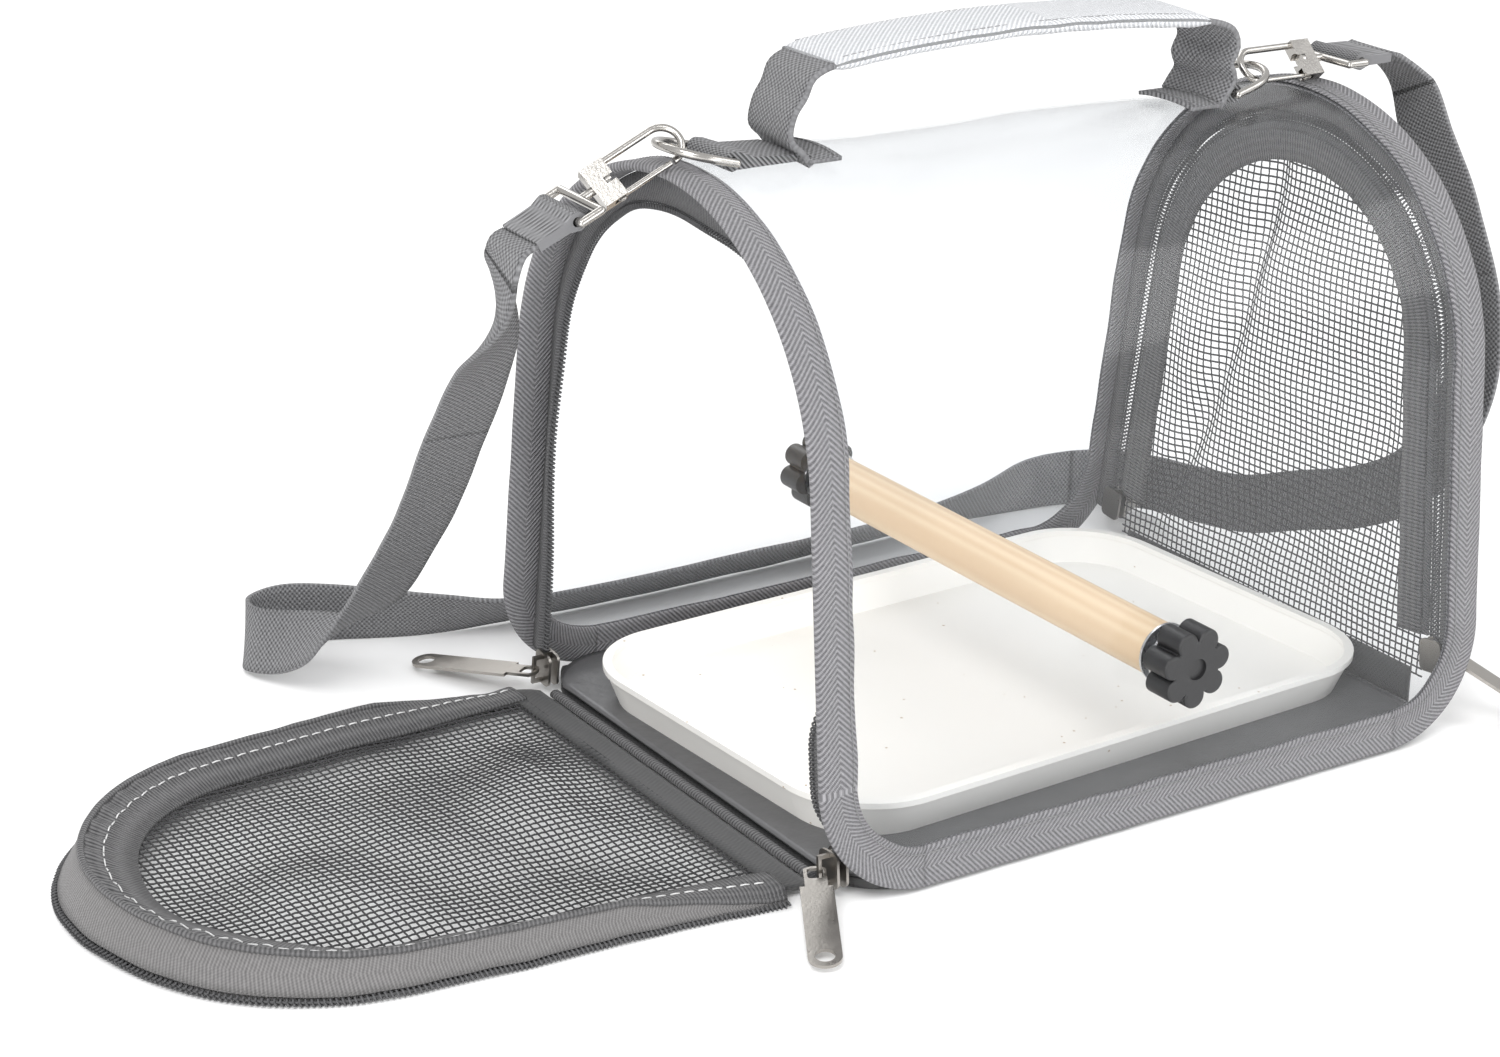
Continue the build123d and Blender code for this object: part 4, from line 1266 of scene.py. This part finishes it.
def make_handle_foot(end, x0, way):
    """Webbing laid on the crown and sewn down with two rows of stitches."""
    points = []
    uvs = []
    xs = steps(x0 + way * 0.5, x0 + way * FOOT_LENGTH, STATION)
    lanes = 12
    ring = []
    for side in (-1, 1):
        ring += [(-side * HANDLE_WIDTH * (k / lanes - 0.5), side > 0) for k in range(lanes + 1)]
    for x in xs:
        for s, under in ring:
            points.append((x, *arch(s, 0.1 if under else -1.3 - 0.3 * cos(s * 0.1))))
            uvs.append((s, x))
    mesh = mesh_from(f"{end}_handle_foot", points, skin_faces(len(xs), len(ring)), uvs)
    add_object(f"{end}_handle_foot", mesh, "root", webbing_cloth, [f"{end}_handle_anchor"])
    stitches = []
    for row_x in (x0 + way * 3.0, x0 + way * 12.0):
        stitches += stitch_row(-13.5, 11, 3.1, lambda s: (row_x, *arch(s, -1.75)))
    add_threads(f"{end}_handle_foot_seam", "root", stitches, HANDLE_THREAD, grey_thread)


def sleeve_point(x, corner):
    """Padded sleeve, softly full in the middle and closing on the strip at its ends."""
    low = HANDLE_FRONT + SLEEVE_IN
    high = HANDLE_REAR - SLEEVE_IN
    part = (x - low) / (high - low)
    full = min(1, 14 * part * (1 - part) + 0.55)
    angle = corner / SLEEVE_SIDES * 2 * pi
    c = cos(angle)
    q = sin(angle)
    across = (1 if c > 0 else -1) * abs(c) ** 0.55 * 16.6
    rise = (1 if q > 0 else -1) * abs(q) ** 0.75 * 3.5 * full
    rise += 0.35 * ripple(x, across, 3, 12, 1.0)
    return x, across, handle_level(x) + 0.9 + rise


def make_sleeve():
    """The handle's padded sleeve and its two rows of stitches."""
    xs = steps(HANDLE_FRONT + SLEEVE_IN, HANDLE_REAR - SLEEVE_IN, STATION)
    points = []
    uvs = []
    for x in xs:
        for corner in range(SLEEVE_SIDES):
            spot = sleeve_point(x, corner)
            points.append(spot)
            uvs.append((x, spot[1] if corner < SLEEVE_SIDES / 2 else -spot[1]))
    mesh = mesh_from("handle_sleeve_cloth", points, skin_faces(len(xs), SLEEVE_SIDES), uvs)
    sleeve = add_object("handle_sleeve_cloth", mesh, "handle", sleeve_cloth, ["handle_sleeve"])
    seam_height = 0.9 + 2.35
    stitches = []
    for row in (14.4, -14.4):
        stitches += stitch_row(xs[0] + 4, xs[-1] - 6, 3.2, lambda x: (x, row, handle_level(x) + seam_height))
    add_threads("handle_sleeve_seam", "handle", stitches, HANDLE_THREAD, grey_thread)


make_handle_leg("front", 0.12, ["handle_webbing"])
make_handle_leg("rear", -0.1, [])
make_handle_foot("front", HANDLE_FRONT, 1)
make_handle_foot("rear", HANDLE_REAR, -1)
make_sleeve()


# ---- ring tabs ---------------------------------------------------------------------------------
RING_BAR = 1.5              # half the thickness of a ring's bar
TAB_WEBBING = 1.6
TAB_HALF = 12.0


def make_ring_tab(end, bar_x, stub_x, way):
    """Webbing folded round the ring's bar and sewn down on the crown."""
    bar_z = HEIGHT - 1.4 + 3.7
    outer = RING_BAR + 0.3 + TAB_WEBBING
    inner = RING_BAR + 0.25
    back = bar_x - way * min(9, abs(bar_x - stub_x))
    outline = []
    for k in range(13):
        a = pi / 2 - pi * k / 12
        outline.append((bar_x + way * outer * cos(a), bar_z + outer * sin(a)))
    outline += [(bar_x - way * 1.2, bar_z - outer + 0.45), (back, 230.15), (stub_x, 230.15), (stub_x, 232.6),
                (back, 233.6), (bar_x - way * 3, 235.2)]
    hole = []
    for k in range(16):
        a = 2 * pi * k / 16
        hole.append((bar_x + inner * cos(a), bar_z + inner * sin(a)))

    def place(x, z, y):
        """The sewn part follows the crown down at both sides."""
        drop = 0.0
        if z < 233.9 and abs(x - bar_x) > 2.5:
            drop = (HEIGHT - arch(y, 0)[1]) * 0.9
        return x * MM, y * MM, (z - drop) * MM

    def uv_at(spot):
        return spot.y / MM, (spot.x + spot.z) / MM

    name = f"{end}_ring_tab_webbing"
    mesh = pierced_bar(name, (outline, hole), steps(-TAB_HALF, TAB_HALF, 2.0), place, uv_at)
    add_object(name, mesh, "root", webbing_cloth, [f"{end}_ring_tab"], smooth=False)


make_ring_tab("front", -129.0, -103.3, -1)
make_ring_tab("rear", 93.0, 86.3, 1)


# ---- strap -------------------------------------------------------------------------------------
# Each end is where the webbing leaves its swivel, the way it leaves and the way its width runs.
FRONT_END = ((-202.2, 2.3, 211.9), (-0.898, 0.04, -0.439), (0.044, 0.999, 0))
REAR_END = ((172.0, 0, 238.2), (1, 0, 0), (0, -1, 0))
FLOOR_EDGE = 12.7           # half the strap's width and a little more, where it stands on its edge
STRAP_WIDTH = 25
STRAP_THICK = 1.6
LOOP_HOLE = 1.72            # radius of the hole for the swivel's bar
# Stops along the middle line, each with the way the width runs. The two meet on the far side.
FRONT_ROUTE = [
    ((-209, 3, 203), (0.1, 1, 0)), ((-207, 8, 192), (0.3, 0.95, 0.05)), ((-202, 20, 176), (0.8, 0.6, 0.1)),
    ((-198, 34, 160), (1, 0.25, 0)), ((-197, 47, 142), (1, 0.05, 0)), ((-197, 62, 119), (1, 0, 0)),
    ((-196, 78, 95), (1, 0, 0)), ((-198, 96, 69), (1, 0, 0)), ((-201, 116, 43), (1, 0, 0.1)),
    ((-209, 133, 26), (0.9, 0.1, 0.4)), ((-220, 151, 17), (0.55, 0.2, 0.8)),
    ((-228, 168, 13.5), (0.25, 0.1, 0.95)), ((-222, 182, FLOOR_EDGE), (0, 0, 1)),
    ((-206, 186, FLOOR_EDGE), (0, 0, 1)), ((-186, 178, 12.4), (0, -0.2, 0.98)),
    ((-158, 163, 11.4), (0, -0.5, 0.87)), ((-126, 154, 9.2), (0, -0.75, 0.66)),
    ((-80, 151, 9), (0, -0.77, 0.64)), ((-30, 151, 9), (0, -0.77, 0.64)), ((20, 152, 9), (0, -0.77, 0.64)),
]
REAR_ROUTE = [
    ((20, 152, 9), (0, -0.77, 0.64)), ((65, 154, 9), (0, -0.77, 0.64)), ((110, 157, 10.8), (0, -0.6, 0.8)),
    ((150, 160, FLOOR_EDGE), (0, -0.1, 1)), ((180, 152, 13), (0, 0.05, 1)), ((194, 128, 15), (0, 0.15, 1)),
    ((192, 98, 20), (0, 0.2, 1)), ((186, 60, 29), (0, 0.25, 1)), ((179, 20, 45), (0, 0.3, 1)),
    ((173, -18, 60), (0, 0.4, 0.9)), ((173, -44, 76), (0.1, 0.6, 0.8)), ((178, -57, 98), (0.1, 0.8, 0.6)),
    ((183, -61, 122), (0.05, 0.95, 0.3)), ((187, -54, 150), (0, 1, 0.2)), ((190, -37, 178), (0, 1, 0.1)),
    ((193, -16, 204), (0, 1, 0)), ((192, -4, 225), (0, 1, 0)),
]


def strap_run(name, stops, low, high, bodies, stands_for):
    """One stretch of the shoulder webbing; with one body it goes on that body, with two it goes on none."""
    mesh = ribbon(name, stops, STRAP_WIDTH, STRAP_THICK, 0.5, low, high)
    first = mesh.vertices[0].co.copy()
    last = mesh.vertices[-1].co.copy()
    piece = add_object(name, mesh, bodies[0] if len(bodies) == 1 else None, webbing_cloth)
    if len(bodies) == 2:
        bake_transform(piece)
    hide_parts(stands_for)
    return piece, first, last


def make_strap(end, stops, crumple_from):
    """One length of the shoulder webbing, from its swivel to the middle of the far side.

    Short runs across the swivel, the hook and the ring are left on no body; the rest lies where it was left.
    Where crumple_from is given, the length is cut there, and the run before it gets its own copy of its mesh.
    """
    node = f"strap_{end}_length"
    bodies = (f"{end}_swivel", f"{end}_hook", f"{end}_ring", "root")
    cuts = (0, 14, 30, 110)
    for k in range(3):
        strap_run(f"{end}_strap_webbing_{k + 1}", stops, cuts[k], cuts[k + 1], bodies[k:k + 2], node)
    if crumple_from:
        loose, low, high = strap_run(f"{end}_strap_webbing_4", stops, cuts[3], crumple_from, ("root",), node)
        strap_run(f"{end}_strap_webbing_5", stops, crumple_from, WHOLE, ("root",), node)
        tuple(high)
        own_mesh(loose)
    else:
        strap_run(f"{end}_strap_webbing_4", stops, cuts[3], WHOLE, ("root",), node)


def strap_stops(place, way, wide, route):
    """All stops from the swivel on: its end, a short straight lead, then the route."""
    return [(place, wide), (tuple(Vector(place) + Vector(way) * 5), wide)] + route


def turned_round(route):
    """The same route from its other end, with the width's way turned to match."""
    return [(centre, tuple(-v for v in wide)) for centre, wide in reversed(route)]


REAR_LOOSE_END = 425        # the rear length is cut here
make_strap("front", strap_stops(*FRONT_END, FRONT_ROUTE), 0)
make_strap("rear", strap_stops(*REAR_END, turned_round(REAR_ROUTE)), REAR_LOOSE_END)


def make_strap_loop(end, place, way, wide):
    """Strap end folded round its swivel's bar and sewn back on itself."""
    along = Vector(way).normalized()
    across = Vector(wide).normalized()
    face = along.cross(across)
    bar = Vector(place) - along * 16.0
    outer = 3.35
    outline = []
    for k in range(19):
        a = pi / 2 + pi * k / 18
        outline.append((outer * cos(a), outer * sin(a)))
    outline += [(4, -1.9), (15.7, -1.65), (15.7, 1.65), (4, 1.9)]
    hole = []
    for k in range(16):
        a = 2 * pi * k / 16
        hole.append((LOOP_HOLE * cos(a), LOOP_HOLE * sin(a)))

    def place_at(a, b, w):
        return (bar + along * a + face * b + across * w) * MM

    name = f"{end}_strap_loop_webbing"
    mesh = pierced_bar(name, (outline, hole), steps(-STRAP_WIDTH / 2, STRAP_WIDTH / 2, 2.5), place_at)
    add_object(name, mesh, f"{end}_swivel", webbing_cloth, [f"{end}_strap_loop"], smooth=False)


make_strap_loop("front", *FRONT_END)
make_strap_loop("rear", *REAR_END)

# ---- light, floor and backdrop ---------------------------------------------------------------
ROOM_HALF = 8               # metres
floor_mesh = bpy.data.meshes.new("floor")
corners = [(x * ROOM_HALF, y * ROOM_HALF, 0) for x, y in ((-1, -1), (1, -1), (1, 1), (-1, 1))]
floor_mesh.from_pydata(corners, [], [(0, 1, 2, 3)])
floor = bpy.data.objects.new("floor", floor_mesh)
bpy.context.scene.collection.objects.link(floor)
floor_material, _, floor_shader = new_material("floor", (0.93, 0.93, 0.93), 0.9)
floor_shader.inputs["Specular IOR Level"].default_value = 0.1
floor_mesh.materials.append(floor_material)
floor.location.z = -0.0004      # just under the lowest cloth

world = bpy.data.worlds.new("room")
bpy.context.scene.world = world
world.use_nodes = True
tree = world.node_tree
tree.nodes.clear()
out = tree.nodes.new("ShaderNodeOutputWorld")
mix = tree.nodes.new("ShaderNodeMixShader")
path = tree.nodes.new("ShaderNodeLightPath")
lit = tree.nodes.new("ShaderNodeBackground")
lit.inputs["Color"].default_value = (1, 1, 1, 1)
lit.inputs["Strength"].default_value = 0.85
plain_white = tree.nodes.new("ShaderNodeBackground")
plain_white.inputs["Color"].default_value = (1, 1, 1, 1)
plain_white.inputs["Strength"].default_value = 1.0
tree.links.new(path.outputs["Is Camera Ray"], mix.inputs[0])
tree.links.new(lit.outputs[0], mix.inputs[1])
tree.links.new(plain_white.outputs[0], mix.inputs[2])
tree.links.new(mix.outputs[0], out.inputs["Surface"])


def area_light(name, place, aim, size, power):
    """Round soft lamp that looks from its place towards its aim."""
    data = bpy.data.lights.new(name, "AREA")
    data.shape = "DISK"
    data.size = size
    data.energy = power
    light = bpy.data.objects.new(name, data)
    bpy.context.scene.collection.objects.link(light)
    light.location = place
    light.rotation_euler = (Vector(aim) - Vector(place)).to_track_quat("-Z", "Y").to_euler()


# name, place, aim, width, all in metres, and power
area_light("key", (-1.1, -0.9, 1.9), (0, 0, 0.05), 1.3, 26)
area_light("fill", (1.4, -1.2, 1.4), (0, 0, 0.1), 1.4, 12)
area_light("back", (0.3, 1.7, 1.5), (0, 0, 0.1), 1.2, 10)
area_light("low front", (-1.5, -1.1, 0.3), (0, 0, 0.05), 0.9, 13)
area_light("low side", (0.5, -1.7, 0.35), (0, 0, 0.05), 0.9, 9)

scene = bpy.context.scene
scene.view_settings.view_transform = "Standard"
